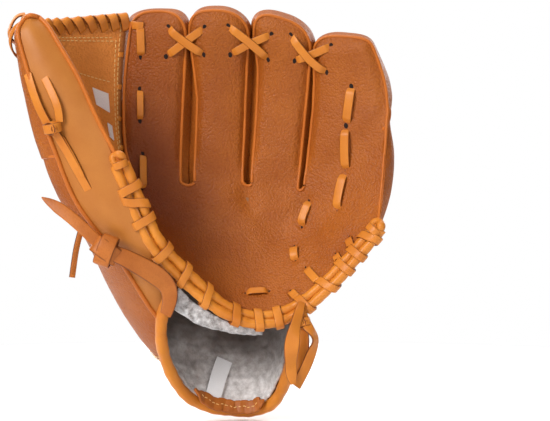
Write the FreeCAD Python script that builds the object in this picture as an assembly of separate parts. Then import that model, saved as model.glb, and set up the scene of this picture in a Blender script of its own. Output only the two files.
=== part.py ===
"""Fielder's glove for the left hand, worn with the fingers up (+Z) and the pocket facing -Y.

Sizes are in millimetres. The glove is a leather bag: the palm shell and its padding in front, the back
panels behind, a web between thumb and index finger, and lacing that holds the edges together. Two fold
lines, at the thumb and at the little finger, split it into three bodies.
"""
import FreeCAD, Part
import math
import os

V = FreeCAD.Vector
os.makedirs("parts", exist_ok=True)

# Thicknesses and sections
LEATHER = 2.0
FELT = 3.6
LINING = 1.0
FLEECE = 3.0
CLEAR = 0.4
STALL_GAP = 1.0
LINER_GAP = 2.6
FOLD_GAP = 1.2
WELT_R = 1.1
HEEL_ROLL_R = 5.6
HEEL_ROLL_DEPTH = 2.2
RIM_ROLL_R = 3.6
WEB_ROLL_R = 2.6
LACE_W = 6.4
LACE_T = 1.5
STRAP_W = 12.0
STRAP_T = 2.0
WINDOW_W = 62.0
WINDOW_H = 34.0
WINDOW_X = -6.0
WINDOW_Z = 96.0
WINDOW_ROLL_R = 2.4
STALL_DEPTH = 26.0
STALL_START = 2.95
WEB_TUCK = 4.5

# Palm surface: rows run from the heel edge to the tips, columns from the thumb's outer seam
# over its inner edge, the index finger and the three finger gaps to the little finger's outer seam.
PALM = [
    [(-73, -80, 151), (-53, -72, 103), (-34, -58, 77), (-1, -44, 48), (35, -38, 41), (71, -38, 64), (110, -42, 108)],
    [(-78, -82, 161), (-64, -48, 133), (-49, -26, 102), (-11, -16, 76), (25, -13, 73), (62, -17, 86), (112, -34, 122)],
    [(-83, -82, 172), (-78, -33, 154), (-62, -8, 124), (-22, 2, 107), (18, 3, 107), (56, 0, 109), (115, -28, 147)],
    [(-93, -80, 191), (-94, -30, 180), (-73, -1, 152), (-31, 6, 140), (13, 7, 140), (54, 4, 136), (118, -25, 184)],
    [(-106, -78, 216), (-113, -33, 216), (-77, 1, 204), (-30, 3, 200), (17, 4, 200), (60, 0, 192), (115, -25, 214)],
    [(-127, -72, 251), (-135, -42, 253), (-72, -9, 262), (-30, -12, 261), (17, -13, 259), (63, -15, 246), (104, -26, 243)],
]
# Back of the hand: rows run from the wrist rim to the finger roots, columns from the thumb's outer
# seam over its welt and round the back to the little finger's outer seam.
BACK = [
    [(-38, -50, 74), (-47, -34, 38), (-45, -10, 7), (-29, 14, -22), (1, 27, -33), (31, 19, -28), (45, -6, 1), (53, -34, 38)],
    [(-45, -62, 86), (-56, -40, 50), (-68, -8, 30), (-51, 18, 17), (-6, 41, 12), (36, 32, 16), (53, 0, 31), (67, -38, 61)],
    [(-51, -72, 97), (-70, -50, 74), (-87, -18, 64), (-70, 20, 51), (-11, 45, 57), (42, 38, 61), (72, 2, 63), (86, -40, 80)],
    [(-58, -77, 113), (-87, -61, 99), (-102, -37, 98), (-84, 16, 89), (-16, 43, 94), (50, 37, 96), (96, 4, 96), (106, -41, 98)],
    [(-64, -79, 128), (-105, -69, 125), (-118, -46, 125), (-94, 7, 122), (-22, 37, 124), (55, 33, 126), (115, -1, 126), (112, -37, 115)],
    [(-73, -80, 151), (-117, -74, 155), (-129, -52, 155), (-105, -6, 155), (-28, 31, 147), (58, 30, 150), (123, -4, 155), (115, -31, 140)],
]
# Thumb stall: rows run from its root to its tip, columns from the outer seam over the welt and round
# the back to the inner edge, where the web starts.
THUMB = [
    [(-73, -80, 151), (-117, -74, 155), (-129, -52, 155), (-105, -6, 155), (-79, -32, 154)],
    [(-88, -82, 181), (-126, -79, 180), (-138, -60, 183), (-127, -23, 185), (-100, -30, 185)],
    [(-101, -80, 209), (-135, -80, 209), (-144, -62, 210), (-140, -34, 213), (-114, -33, 214)],
    [(-115, -77, 233), (-142, -78, 232), (-147, -64, 234), (-145, -42, 237), (-127, -38, 237)],
    [(-123, -74, 246), (-144, -76, 244), (-147, -66, 244), (-146, -48, 247), (-132, -42, 249)],
    [(-130, -71, 254), (-140, -71, 252), (-144, -63, 251), (-142, -52, 252), (-137, -46, 255)],
]

# Fold lines: two points on each hinge axis and the way its fold plane runs towards the back.
THUMB_FOLD = (V(-37, -66, 79), V(-98, -28, 258), V(-0.85, 0.53, 0))
PINKY_FOLD = (V(61, -28, 245), V(55, -50, 50), V(0.05, 1, 0))

# Each finger's left and right edges in columns at the rows EDGE_ROWS, and how fast its stall gets
# shallower towards the root
EDGE_ROWS = (3.0, 3.5, 4.0, 4.4, 4.73)
FINGERS = {
    "index": ((2.03, 2.03, 2.03, 2.03, 2.04), (2.91, 2.92, 2.925, 2.945, 2.96), 16),
    "middle": ((3.13, 3.15, 3.15, 3.09, 3.04), (3.94, 3.93, 3.905, 3.92, 3.95), 7),
    "ring": ((4.12, 4.12, 4.105, 4.10, 4.05), (4.955, 4.945, 4.935, 4.94, 4.945), 7),
    "pinky": ((5.09, 5.07, 5.05, 5.04, 5.01), (5.94, 5.94, 5.94, 5.94, 5.94), 7),
}
TIP_BASE = 4.73
TIP_CORNER = 0.27


def spline(values, x):
    """Natural cubic spline through the values, which stand at 0, 1, 2 and so on, read at x."""
    count = len(values)
    bend = [V(0, 0, 0)] * count
    upper = [0.0] * count
    for i in range(1, count - 1):
        pull = (values[i - 1] - values[i] * 2 + values[i + 1]) * 6
        pivot = 4 - upper[i - 1]
        upper[i] = 1 / pivot
        bend[i] = (pull - bend[i - 1]) * upper[i]
    for i in range(count - 3, 0, -1):
        bend[i] = bend[i] - bend[i + 1] * upper[i]
    k = min(max(int(math.floor(x)), 0), count - 2)
    b = x - k
    a = 1 - b
    return (values[k] * a + values[k + 1] * b
            + bend[k] * ((a ** 3 - a) / 6) + bend[k + 1] * ((b ** 3 - b) / 6))


class Net:
    """A smooth surface through a net of points. side is +1 or -1 for the way depth() goes."""

    def __init__(self, rows, side):
        self.columns = [[V(*row[i]) for row in rows] for i in range(len(rows[0]))]
        self.side = side

    def at(self, u, v):
        return spline([spline(column, v) for column in self.columns], u)

    def normal(self, u, v):
        step = 0.02
        along_u = self.at(u + step, v) - self.at(u - step, v)
        along_v = self.at(u, v + step) - self.at(u, v - step)
        return along_u.cross(along_v).normalize() * self.side

    def depth(self, u, v, d):
        """The point d below the outer face, towards the inside of the glove."""
        return self.at(u, v) + self.normal(u, v) * d


palm = Net(PALM, -1)
back = Net(BACK, 1)
thumb = Net(THUMB, 1)


def share_of(net, u, v, du, dv, distance):
    """How far to go from (u, v) along (du, dv) to be a distance away from the edge that crosses there."""
    step = 0.02
    here = net.at(u, v)
    forward = net.at(u + du * step, v + dv * step) - here
    edge = net.at(u + abs(dv) * step, v + abs(du) * step) - here
    forward = forward - edge * (forward.dot(edge) / edge.dot(edge))
    return distance * step / forward.Length


def steps(start, end, count):
    return [start + (end - start) * i / (count - 1) for i in range(count)]


def closed(faces):
    shell = Part.Shell(faces)
    shell.sewShape()
    solid = Part.Solid(shell)
    if solid.Volume < 0:
        solid.reverse()
    if not solid.isValid():
        solid.fix(0.01, 0.01, 0.01)
    return solid


def slab(place, near, far, rows, columns):
    """A solid between depths near and far of a surface. place(s, t, d) gives its points, with s and t from 0 to 1."""
    skins = []
    for d in (near, far):
        surface = Part.BSplineSurface()
        surface.interpolate([[place(s, t, d) for t in steps(0, 1, rows)] for s in steps(0, 1, columns)])
        skins.append(surface)
    sides = []
    for corner, along_u in ((0, False), (1, False), (2, True), (3, True)):
        curves = [skin.vIso(skin.bounds()[corner]) if along_u else skin.uIso(skin.bounds()[corner]) for skin in skins]
        side = Part.BSplineSurface()
        side.buildFromNSections(curves)
        sides.append(side)
    faces = [surface.toShape() for surface in skins + sides]
    return closed(faces)


def patch(net, u0, u1, v0, v1, near, far, rows=9, columns=13):
    def place(s, t, d):
        return net.depth(u0 + (u1 - u0) * s, v0 + (v1 - v0) * t, d)
    return slab(place, near, far, rows, columns)


def loft(sections, ruled=True):
    """A solid through closed sections, each a list of points or a wire."""
    wires = [s if isinstance(s, Part.Wire) else Part.makePolygon(s + [s[0]]) for s in sections]
    solid = Part.makeLoft(wires, True, ruled)
    if solid.Volume < 0:
        solid.reverse()
    return solid


def tangents(points):
    last = len(points) - 1
    return [(points[min(i + 1, last)] - points[max(i - 1, 0)]).normalize() for i in range(len(points))]


def roll(points, radius):
    """A round cord through the points."""
    wires = []
    up = V(0.3, 0.2, 1)
    for point, tangent in zip(points, tangents(points)):
        up = (up - tangent * up.dot(tangent)).normalize()
        circle = Part.Circle(point, tangent, radius)
        circle.XAxis = up
        wires.append(Part.Wire(circle.toShape()))
    return loft(wires, ruled=False)


def strip(points, normals, width, thickness):
    """A flat band through the points, with its broad face square to the normals."""
    sections = []
    for p, t, n in zip(points, tangents(points), normals):
        side = t.cross(n).normalize() * (width / 2)
        up = side.cross(t).normalize() * (thickness / 2)
        sections.append([p - side - up, p + side - up, p + side + up, p - side + up])
    return loft(sections)


def ring(centre, direction, inner, wall, width):
    """One turn of a lace round a roll."""
    base = centre - direction * (width / 2)
    outer = Part.makeCylinder(inner + wall, width, base, direction)
    return outer.cut(Part.makeCylinder(inner, width, base, direction))


def fold_frame(fold):
    low, high, outward = fold
    axis = (high - low).normalize()
    return low, axis, axis.cross(outward).normalize()


def split(solid, fold):
    """The solid's pieces before and behind a fold plane, FOLD_GAP apart."""
    origin, axis, normal = fold_frame(fold)
    side = axis.cross(normal)
    reach = 500
    halves = []
    for sign in (-1, 1):
        base = origin + normal * (sign * FOLD_GAP / 2)
        corners = [base + axis * (a * reach) + side * (b * reach) for a, b in ((-1, -1), (1, -1), (1, 1), (-1, 1))]
        block = Part.Face(Part.makePolygon(corners + [corners[0]])).extrude(normal * (sign * reach))
        halves.append([s for s in solid.common(block).Solids if s.Volume > 5])
    return halves


def three_ways(solid):
    """The solid's pieces on the palm, the thumb's side and the little finger's side."""
    rest, on_thumb = split(solid, THUMB_FOLD)
    middle, on_pinky = [], []
    for piece in rest:
        left, right = split(piece, PINKY_FOLD)
        middle += left
        on_pinky += right
    return {"palm": middle, "thumb": on_thumb, "pinky": on_pinky}


nodes = {}


def add(name, *solids):
    nodes.setdefault(name, []).extend(solids)


def share(solid, on_palm=None, on_thumb=None, on_pinky=None):
    """Cuts a solid at the fold lines and adds its pieces to the named nodes. A side with no name is dropped."""
    sides = three_ways(solid)
    for name, side in ((on_palm, "palm"), (on_thumb, "thumb"), (on_pinky, "pinky")):
        if name:
            add(name, *sides[side])


# Finger stalls -------------------------------------------------------------------------------------

def between(rows, values, v):
    """The value at row v, straight between the given rows and level beyond them."""
    if v <= rows[0]:
        return values[0]
    for k in range(1, len(rows)):
        if v <= rows[k]:
            share = (v - rows[k - 1]) / (rows[k] - rows[k - 1])
            return values[k - 1] + (values[k] - values[k - 1]) * share
    return values[-1]


def finger_edges(name, v):
    left, right, taper = FINGERS[name]
    return between(EDGE_ROWS, left, v), between(EDGE_ROWS, right, v)


def finger_row(t):
    """The row a share t of the way up a finger, and the share of the finger's width left there."""
    straight = 0.6
    if t < straight:
        return 3.003 + (TIP_BASE - 3.003) * t / straight, 1.0
    angle = math.radians(74) * (t - straight) / (1 - straight)
    return TIP_BASE + TIP_CORNER * math.sin(angle), math.cos(angle) ** 0.7


def finger_point(name, s, t, d):
    v, share = finger_row(t)
    left, right = finger_edges(name, v)
    return palm.depth((left + right) / 2 + (right - left) / 2 * share * (2 * s - 1), v, d)


def finger_front(name, near, far):
    return slab(lambda s, t, d: finger_point(name, s, t, d), near, far, 16, 9)


def stall(name, inset, start, closing, front):
    """The solid a finger stall fills, inset from its back panel, from depth front behind the palm face."""
    sections = []
    straight = steps(start, TIP_BASE, 7)
    rounded = [math.radians(a) for a in (25, 45, 60, 72)[:closing]]
    for k, v in enumerate(straight + [TIP_BASE + TIP_CORNER * math.sin(a) for a in rounded]):
        shrink = 1.0 if k < 7 else math.cos(rounded[k - 7]) ** 0.7
        left, right = finger_edges(name, v)
        middle = (left + right) / 2
        half = (right - left) / 2 * shrink
        a, b = palm.at(middle - half, v), palm.at(middle + half, v)
        centre, arm = (a + b) / 2, (b - a) / 2
        arm = arm * ((arm.Length - inset) / arm.Length)
        away = palm.normal(middle, v)
        away = (away - arm * (away.dot(arm) / arm.dot(arm))).normalize()
        depth = (STALL_DEPTH - FINGERS[name][2] * max(0, 3.6 - v)) * shrink - inset
        bow = []
        for angle in steps(0, math.pi, 9):
            x = math.copysign(abs(math.cos(angle)) ** 0.62, -math.cos(angle))
            y = abs(math.sin(angle)) ** 0.62
            bow.append(centre + arm * x + away * (front + (depth - front) * y))
        curve = Part.BSplineCurve()
        curve.interpolate(bow)
        sections.append(Part.Wire([curve.toShape(), Part.makeLine(bow[-1], bow[0])]))
    return loft(sections, ruled=False)


def finger(name):
    front = "palm_shell" if name != "pinky" else "pinky_shell"
    add(front, finger_front(name, 0, LEATHER))
    behind = LEATHER + STALL_GAP + 0.5
    panel = stall(name, 0, STALL_START, 4, behind)
    add(name + "_back", panel.cut(stall(name, LEATHER, STALL_START - 0.1, 3, 0.5)))
    liner = stall(name, LEATHER + LINER_GAP, STALL_START + 0.08, 2, behind + 0.3)
    hollow = stall(name, LEATHER + LINER_GAP + LINING, STALL_START - 0.1, 3, 0.5)
    add(name + "_liner", liner.cut(hollow))


def finger_welt(name):
    """The piping along a finger's outline, from one root over the tip to the other."""
    rise = -WELT_R - 0.1
    sides = [[finger_point(name, s, t, rise) for t in steps(0.06, 1, 20)] for s in (0, 1)]
    top = [finger_point(name, s, 1, rise) for s in steps(0, 1, 6)]
    return sides[0] + top[1:-1] + sides[1][::-1]


for name in FINGERS:
    finger(name)
    add(name + "_welt", roll(finger_welt(name), WELT_R))
add("pinky_welt", roll([palm.depth(5.94, v, -WELT_R - 0.1) for v in steps(0.55, 3.05, 8)], WELT_R))

# Palm ----------------------------------------------------------------------------------------------
def palm_layer(u0, u1, margin, v1, near, far, v1_thumb=None):
    """A layer of the palm from the heel roll up, margin away from the roll's centre line. It can end lower by the thumb."""
    def place(s, t, d):
        u = u0 + (u1 - u0) * s
        v0 = share_of(palm, u, 0, 0, 1, margin)
        top = v1
        if v1_thumb:
            ease = min(max((u - 1.2) / 0.8, 0), 1)
            top = v1_thumb + (v1 - v1_thumb) * ease * ease * (3 - 2 * ease)
        return palm.depth(u, v0 + (top - v0) * t, d)
    return slab(place, near, far, 11, 25)


share(palm_layer(0.11, 5.93, HEEL_ROLL_R + 0.8, 2.997, 0, LEATHER), "palm_shell", "thumb_shell", "pinky_shell")
add("thumb_shell", patch(palm, 0.11, 0.97, 3.003, 4.88, 0, LEATHER, 9, 7))
pad_near = LEATHER + CLEAR
share(palm_layer(0.38, 5.2, HEEL_ROLL_R + 4, 2.8, pad_near, pad_near + FELT, v1_thumb=1.8),
      "palm_pad", "thumb_pad", "pinky_pad")
lining_near = pad_near + FELT + CLEAR
share(palm_layer(0.38, 5.2, HEEL_ROLL_R + 3, 2.85, lining_near, lining_near + LINING, v1_thumb=1.85),
      "palm_lining", "thumb_lining", "pinky_lining")

# Back of the hand ----------------------------------------------------------------------------------
window = Part.makeCylinder(1, 60, V(0, 12, 0), V(0, 1, 0))
stretch = FreeCAD.Matrix()
stretch.scale(V(WINDOW_W / 2, 1, WINDOW_H / 2))
stretch.move(V(WINDOW_X, 0, WINDOW_Z))
window = window.transformGeometry(stretch)


def back_layer(u0, u1, top, near, far, rows, columns, left_margin=0.0, right_margin=0.0, rim_margin=0.0):
    """A layer of the back from the rim roll up, its ends held off the heel roll by the margins."""
    def place(s, t, d):
        v = top * t
        start = u0 + (share_of(back, 0, v, 1, 0, left_margin) if left_margin else 0)
        end = u1 - (share_of(back, 7, v, -1, 0, right_margin) if right_margin else 0)
        u = start + (end - start) * s
        v0 = share_of(back, u, 0, 0, 1, RIM_ROLL_R + 0.6 + rim_margin)
        return back.depth(u, v0 + (top - v0) * t, d)
    return slab(place, near, far, rows, columns)


heel_margin = HEEL_ROLL_R + 3.4
share(back_layer(1.09, 7, 4.96, 0, LEATHER, 13, 27, right_margin=heel_margin).cut(window),
      "back_panel", "thumb_back_panel", "pinky_side_panel")
share(back_layer(0, 0.93, 4.98, 0, LEATHER, 13, 7, left_margin=heel_margin),
      "outer_panel_heel_end", "thumb_outer_panel", None)
fleece_near = LEATHER + CLEAR
share(back_layer(0.4, 6.6, 2.15, fleece_near, fleece_near + FLEECE, 11, 25, rim_margin=2.4), "wrist_fleece", None, None)

rim_points = []
for angle in steps(math.radians(-89), math.radians(269), 37):
    x = WINDOW_X + WINDOW_W / 2 * math.cos(angle)
    z = WINDOW_Z + WINDOW_H / 2 * math.sin(angle)
    rim_points.append(V(x, 0, z))


def back_height(x, z):
    """The y of the back panel's outer face over the point (x, z)."""
    u, v = 4.2, 2.5
    for _ in range(12):
        here = back.at(u, v)
        along_u = (back.at(u + 0.02, v) - here) * 50
        along_v = (back.at(u, v + 0.02) - here) * 50
        across = along_u.x * along_v.z - along_u.z * along_v.x
        dx, dz = x - here.x, z - here.z
        u += (dx * along_v.z - dz * along_v.x) / across
        v += (along_u.x * dz - along_u.z * dx) / across
    return back.at(u, v).y


rim_points = [V(p.x, back_height(p.x, p.z) + 0.6, p.z) for p in rim_points]
add("window_binding", roll(rim_points, WINDOW_ROLL_R))

# Thumb stall ---------------------------------------------------------------------------------------
add("thumb_outer_panel", patch(thumb, 0.14, 0.93, 0.02, 4.8, 0, LEATHER, 11, 7))
add("thumb_back_panel", patch(thumb, 1.09, 3.7, 0.02, 4.7, 0, LEATHER, 15, 25))
add("thumb_liner", patch(thumb, 1.2, 3.6, 0.3, 4.2, LEATHER + CLEAR, LEATHER + CLEAR + LINING, 15, 25))
add("thumb_welt", roll([thumb.at(0, v) for v in steps(0.1, 4.95, 16)], WELT_R))
share(roll([back.at(1, v) for v in steps(0.35, 4.96, 14)] + [thumb.at(1, v) for v in steps(0.1, 4.7, 12)], WELT_R),
      "heel_side_welt", "thumb_back_welt", None)

# Web -----------------------------------------------------------------------------------------------


def web(s, t, d):
    """The web's own face: it starts at the thumb's inner edge and tucks in behind the index finger."""
    u = 1.03 + 0.96 * s
    return palm.depth(u, 3.05 + 1.81 * t, d + WEB_TUCK * s ** 2)


share(slab(web, 0, LEATHER, 11, 11), "web_panel", "web_panel_thumb_half", None)
web_top = [palm.at(u, 4.97) for u in steps(1.06, 1.97, 12)]
share(roll(web_top, WEB_ROLL_R), "web_top_roll", "web_top_roll_thumb_half", None)
for u in steps(1.14, 1.9, 8):
    turn = ring(palm.at(u, 4.97), (palm.at(u + 0.02, 4.97) - palm.at(u - 0.02, 4.97)).normalize(),
                WEB_ROLL_R + 0.1, 1.3, 4.6)
    share(turn, "web_top_lace", "web_top_lace_thumb_half", None)
for v in (3.35, 3.75, 4.15, 4.55):
    points = [palm.depth(u, v, -LACE_T / 2 - 0.2) for u in steps(1.66, 1.88, 4)]
    add("web_side_lace", strip(points, [palm.normal(1.8, v)] * 4, LACE_W - 1.5, LACE_T))

# Heel edge -----------------------------------------------------------------------------------------
heel = [palm.depth(u, 0, HEEL_ROLL_DEPTH) for u in steps(0.12, 5.96, 48)]
share(roll(heel, HEEL_ROLL_R), "heel_roll", "heel_roll_thumb", "heel_roll_pinky")
for u in (0.18, 0.42, 0.7, 1.05, 1.45, 2.35, 2.6, 2.85, 3.1, 3.35, 3.6, 3.85, 4.1, 4.4, 4.95, 5.2, 5.45, 5.7, 5.88):
    here = palm.depth(u, 0, HEEL_ROLL_DEPTH)
    way = (palm.depth(u + 0.05, 0, HEEL_ROLL_DEPTH) - palm.depth(u - 0.05, 0, HEEL_ROLL_DEPTH)).normalize()
    share(ring(here, way, HEEL_ROLL_R + 0.35, LACE_T, LACE_W), "heel_lace", "heel_lace_thumb", "heel_lace_pinky")

# Wrist rim -----------------------------------------------------------------------------------------
add("wrist_rim_roll", roll([back.at(u, 0) for u in steps(0.2, 6.9, 36)], RIM_ROLL_R))

# Lacing on the palm face ---------------------------------------------------------------------------

def surface_lace(ends, lift=0.0, width=LACE_W, stations=7):
    """A lace that lies on the palm between two holes and dives into each. ends are (u, v) pairs."""
    (u0, v0), (u1, v1) = ends
    points, normals = [], []
    for k, t in enumerate(steps(0, 1, stations)):
        u, v = u0 + (u1 - u0) * t, v0 + (v1 - v0) * t
        rise = LACE_T / 2 + 0.25 + lift * math.sin(math.pi * t)
        if k in (0, stations - 1):
            rise = -LEATHER / 2
        points.append(palm.depth(u, v, -rise))
        normals.append(palm.normal(u, v))
    return strip(points, normals, width, LACE_T)


# Each crossing at the finger tips: its two holes on the left finger and its two on the right one
TIP_CROSSES = [
    ((2.652, 4.86), (2.637, 4.51), (3.304, 4.86), (3.272, 4.53)),
    ((3.658, 4.88), (3.663, 4.53), (4.325, 4.87), (4.281, 4.54)),
    ((4.66, 4.90), (4.706, 4.60), (5.308, 4.87), (5.253, 4.50)),
]
for left_top, left_low, right_top, right_low in TIP_CROSSES:
    for lift, ends in ((0.6, (left_low, right_top)), (2.6, (left_top, right_low))):
        lace = surface_lace(ends, lift)
        if right_top[0] > 5:
            share(lace, "tip_lace", None, "tip_lace_pinky")
        else:
            add("tip_lace", lace)
for ends in (((2.2, 4.87), (2.217, 4.49)), ((2.242, 4.1), (2.261, 3.72)), ((2.303, 3.31), (2.2, 2.6))):
    add("index_edge_lace", surface_lace(ends))
for ends in (((5.6, 4.16), (5.55, 3.56)), ((5.54, 3.53), (5.55, 2.73)), ((5.535, 2.72), (5.443, 1.84))):
    add("pinky_edge_lace", surface_lace(ends))
for ends in (((5.113, 2.62), (4.95, 1.925)), ((4.759, 1.435), (4.7, 1.07)), ((4.05, 0.59), (3.555, 0.6))):
    share(surface_lace(ends), "palm_tie_lace", None, "pinky_edge_lace")

# Thumb tie: two runs, the knot and its tail ---------------------------------------------------------

def panel_lace(net, route, width=LACE_W, lift=0.3):
    points = [net.depth(u, v, -(LACE_T / 2 + lift)) for u, v in route]
    return strip(points, [net.normal(u, v) for u, v in route], width, LACE_T)


add("thumb_tie_lace", panel_lace(thumb, [(0.68, 2.12), (0.585, 1.7), (0.6, 1.4), (0.7, 1.15)]))
add("thumb_tie_lace", panel_lace(thumb, [(0.84, 0.45), (0.78, 0.25), (0.72, 0.05)]))
knot_at = thumb.depth(0.8, 0.8, -3.6)
add("thumb_tie_lace", Part.makeSphere(5.0, knot_at))

# Wrist strap ---------------------------------------------------------------------------------------
knot = V(-83, -74, 90)
strap_route = [V(-40, -58, 62), V(-47, -65, 70), V(-57, -70, 77), V(-70, -74, 84), knot]
strap = strip(strap_route, [V(-0.45, -0.9, 0)] * 5, STRAP_W, STRAP_T)
share(strap, "wrist_strap", "strap_tail", None)
tail_route = [knot, V(-92, -75, 98), V(-104, -73, 110), V(-118, -69, 120), V(-131, -64, 127)]
add("strap_tail", strip(tail_route, [V(0, -1, 0)] * 5, STRAP_W - 2, STRAP_T))
add("strap_tail", strip([knot + V(-18, 2, 4), knot + V(-21, 0, -8), knot + V(-20, -1, -24)], [V(-1, 0, 0)] * 3, 4.0, 2.0))
across = V(0.75, 0.1, -0.55).normalize()
add("strap_knot", Part.makeCylinder(9.0, 14.0, knot - across * 7, across))

# Heel tie and label --------------------------------------------------------------------------------
tie_route = [V(48, -43, 49), V(51, -49, 40), V(49, -53, 27), V(45, -54, 8), V(43, -52, -9)]
add("heel_tie_lace", strip(tie_route, [V(0, -1, 0)] * 5, 9.0, LACE_T))
add("heel_tie_knot", Part.makeCylinder(5.0, 9.0, V(50.5, -46, 33), V(1, 0, 0)))
label_route = [(4.1, 0.35), (4.1, 0.75), (4.1, 1.15)]
add("care_label", strip([back.depth(u, v, LEATHER + FLEECE + 2.2) for u, v in label_route],
                        [back.normal(u, v) for u, v in label_route], 15.0, 0.4))

for name, solids in nodes.items():
    solids = [s for s in solids if s.Volume > 1]
    shape = solids[0] if len(solids) == 1 else Part.makeCompound(solids)
    shape.exportStep("parts/" + name + ".step")
    bad = [s for s in solids if not s.isValid()]
    print(name, len(solids), "solids", round(sum(s.Volume for s in solids) / 1000, 1), "cm3", "BAD" if bad else "")
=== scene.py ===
import bpy
import math
import numpy as np
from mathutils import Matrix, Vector


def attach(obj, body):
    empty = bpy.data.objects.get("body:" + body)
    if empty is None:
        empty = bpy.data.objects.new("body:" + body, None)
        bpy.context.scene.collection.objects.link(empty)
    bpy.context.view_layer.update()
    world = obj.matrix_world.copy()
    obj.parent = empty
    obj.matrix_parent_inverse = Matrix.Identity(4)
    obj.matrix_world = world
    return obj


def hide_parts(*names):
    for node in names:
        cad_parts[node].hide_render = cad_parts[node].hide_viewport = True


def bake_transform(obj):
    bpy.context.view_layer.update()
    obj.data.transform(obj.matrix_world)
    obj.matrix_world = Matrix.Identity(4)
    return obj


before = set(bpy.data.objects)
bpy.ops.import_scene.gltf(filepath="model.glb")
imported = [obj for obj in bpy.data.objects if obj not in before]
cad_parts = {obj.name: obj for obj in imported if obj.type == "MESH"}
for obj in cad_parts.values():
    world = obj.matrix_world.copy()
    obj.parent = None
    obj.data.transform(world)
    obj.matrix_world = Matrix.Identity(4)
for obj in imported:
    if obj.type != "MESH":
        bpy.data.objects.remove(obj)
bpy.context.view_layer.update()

MM = 0.001

# ---- Surfaces: natural cubic splines through nets of points, in millimetres (X right, Y back, Z up) ----
PALM = [
    [(-73, -80, 151), (-53, -72, 103), (-34, -58, 77), (-1, -44, 48),
     (35, -38, 41), (71, -38, 64), (110, -42, 108)],
    [(-78, -82, 161), (-64, -48, 133), (-49, -26, 102), (-11, -16, 76),
     (25, -13, 73), (62, -17, 86), (112, -34, 122)],
    [(-83, -82, 172), (-78, -33, 154), (-62, -8, 124), (-22, 2, 107),
     (18, 3, 107), (56, 0, 109), (115, -28, 147)],
    [(-93, -80, 191), (-94, -30, 180), (-73, -1, 152), (-31, 6, 140),
     (13, 7, 140), (54, 4, 136), (118, -25, 184)],
    [(-106, -78, 216), (-113, -33, 216), (-77, 1, 204), (-30, 3, 200),
     (17, 4, 200), (60, 0, 192), (115, -25, 214)],
    [(-127, -72, 251), (-135, -42, 253), (-72, -9, 262), (-30, -12, 261),
     (17, -13, 259), (63, -15, 246), (104, -26, 243)],
]
# rim to finger roots, and one row more so that the surfaces above run on smoothly
BACK = [
    [(-38, -50, 74), (-47, -34, 38), (-45, -10, 7), (-29, 14, -22),
     (1, 27, -33), (31, 19, -28), (45, -6, 1), (53, -34, 38)],
    [(-45, -62, 86), (-56, -40, 50), (-68, -8, 30), (-51, 18, 17),
     (-6, 41, 12), (36, 32, 16), (53, 0, 31), (67, -38, 61)],
    [(-51, -72, 97), (-70, -50, 74), (-87, -18, 64), (-70, 20, 51),
     (-11, 45, 57), (42, 38, 61), (72, 2, 63), (86, -40, 80)],
    [(-58, -77, 113), (-87, -61, 99), (-102, -37, 98), (-84, 16, 89),
     (-16, 43, 94), (50, 37, 96), (96, 4, 96), (106, -41, 98)],
    [(-64, -79, 128), (-105, -69, 125), (-118, -46, 125), (-94, 7, 122),
     (-22, 37, 124), (55, 33, 126), (112.5, -1, 126), (111, -37, 115)],
    [(-73, -80, 151), (-117, -74, 155), (-129, -52, 155), (-105, -6, 155),
     (-28, 31, 147), (58, 30, 150), (117.5, -6, 155), (113.5, -31, 140)],
    [(-88, -82, 181), (-126, -79, 180), (-138, -60, 183), (-127, -23, 185),
     (-32, 26, 176), (60, 25, 178), (117.5, -9, 186), (114.5, -27, 168)],
]
# thumb stall, root to tip, with one row before the root
THUMB = [
    [(-64, -79, 128), (-105, -69, 125), (-118, -46, 125), (-94, 7, 122), (-60, -22, 126)],
    [(-73, -80, 151), (-117, -74, 155), (-129, -52, 155), (-105, -6, 155), (-79, -32, 154)],
    [(-88, -82, 181), (-126, -79, 180), (-138, -60, 183), (-127, -23, 185), (-100, -30, 185)],
    [(-101, -80, 209), (-135, -80, 209), (-144, -62, 210), (-140, -34, 213), (-114, -33, 214)],
    [(-115, -77, 233), (-142, -78, 232), (-147, -64, 234), (-145, -42, 237), (-127, -38, 237)],
    [(-123, -74, 246), (-144, -76, 244), (-147, -66, 244), (-146, -48, 247), (-132, -42, 249)],
    [(-130, -71, 253), (-140, -71, 252), (-144, -65, 252), (-143, -53, 253), (-137, -46, 255)],
]


def spline_weights(count, x):
    """Rows of weights that turn values at 0, 1, 2 and so on into the natural cubic spline's value at x."""
    x = np.asarray(x, float).ravel()
    left = np.zeros((count - 2, count - 2))
    right = np.zeros((count - 2, count))
    for i in range(count - 2):
        left[i, i] = 4
        if i:
            left[i, i - 1] = 1
        if i < count - 3:
            left[i, i + 1] = 1
        right[i, i:i + 3] = (6, -12, 6)
    bend = np.zeros((count, count))
    bend[1:-1] = np.linalg.solve(left, right)
    k = np.clip(np.floor(x).astype(int), 0, count - 2)
    f = (x - k)[:, None]
    g = 1 - f
    one = np.eye(count)
    return g * one[k] + f * one[k + 1] + (g ** 3 - g) / 6 * bend[k] + (f ** 3 - f) / 6 * bend[k + 1]


def spline_line(points, count):
    """count points along the spline through the points."""
    points = np.asarray(points, float)
    return spline_weights(len(points), np.linspace(0, len(points) - 1, count)) @ points


def unit(a):
    return a / np.maximum(np.linalg.norm(a, axis=-1, keepdims=True), 1e-12)


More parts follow.
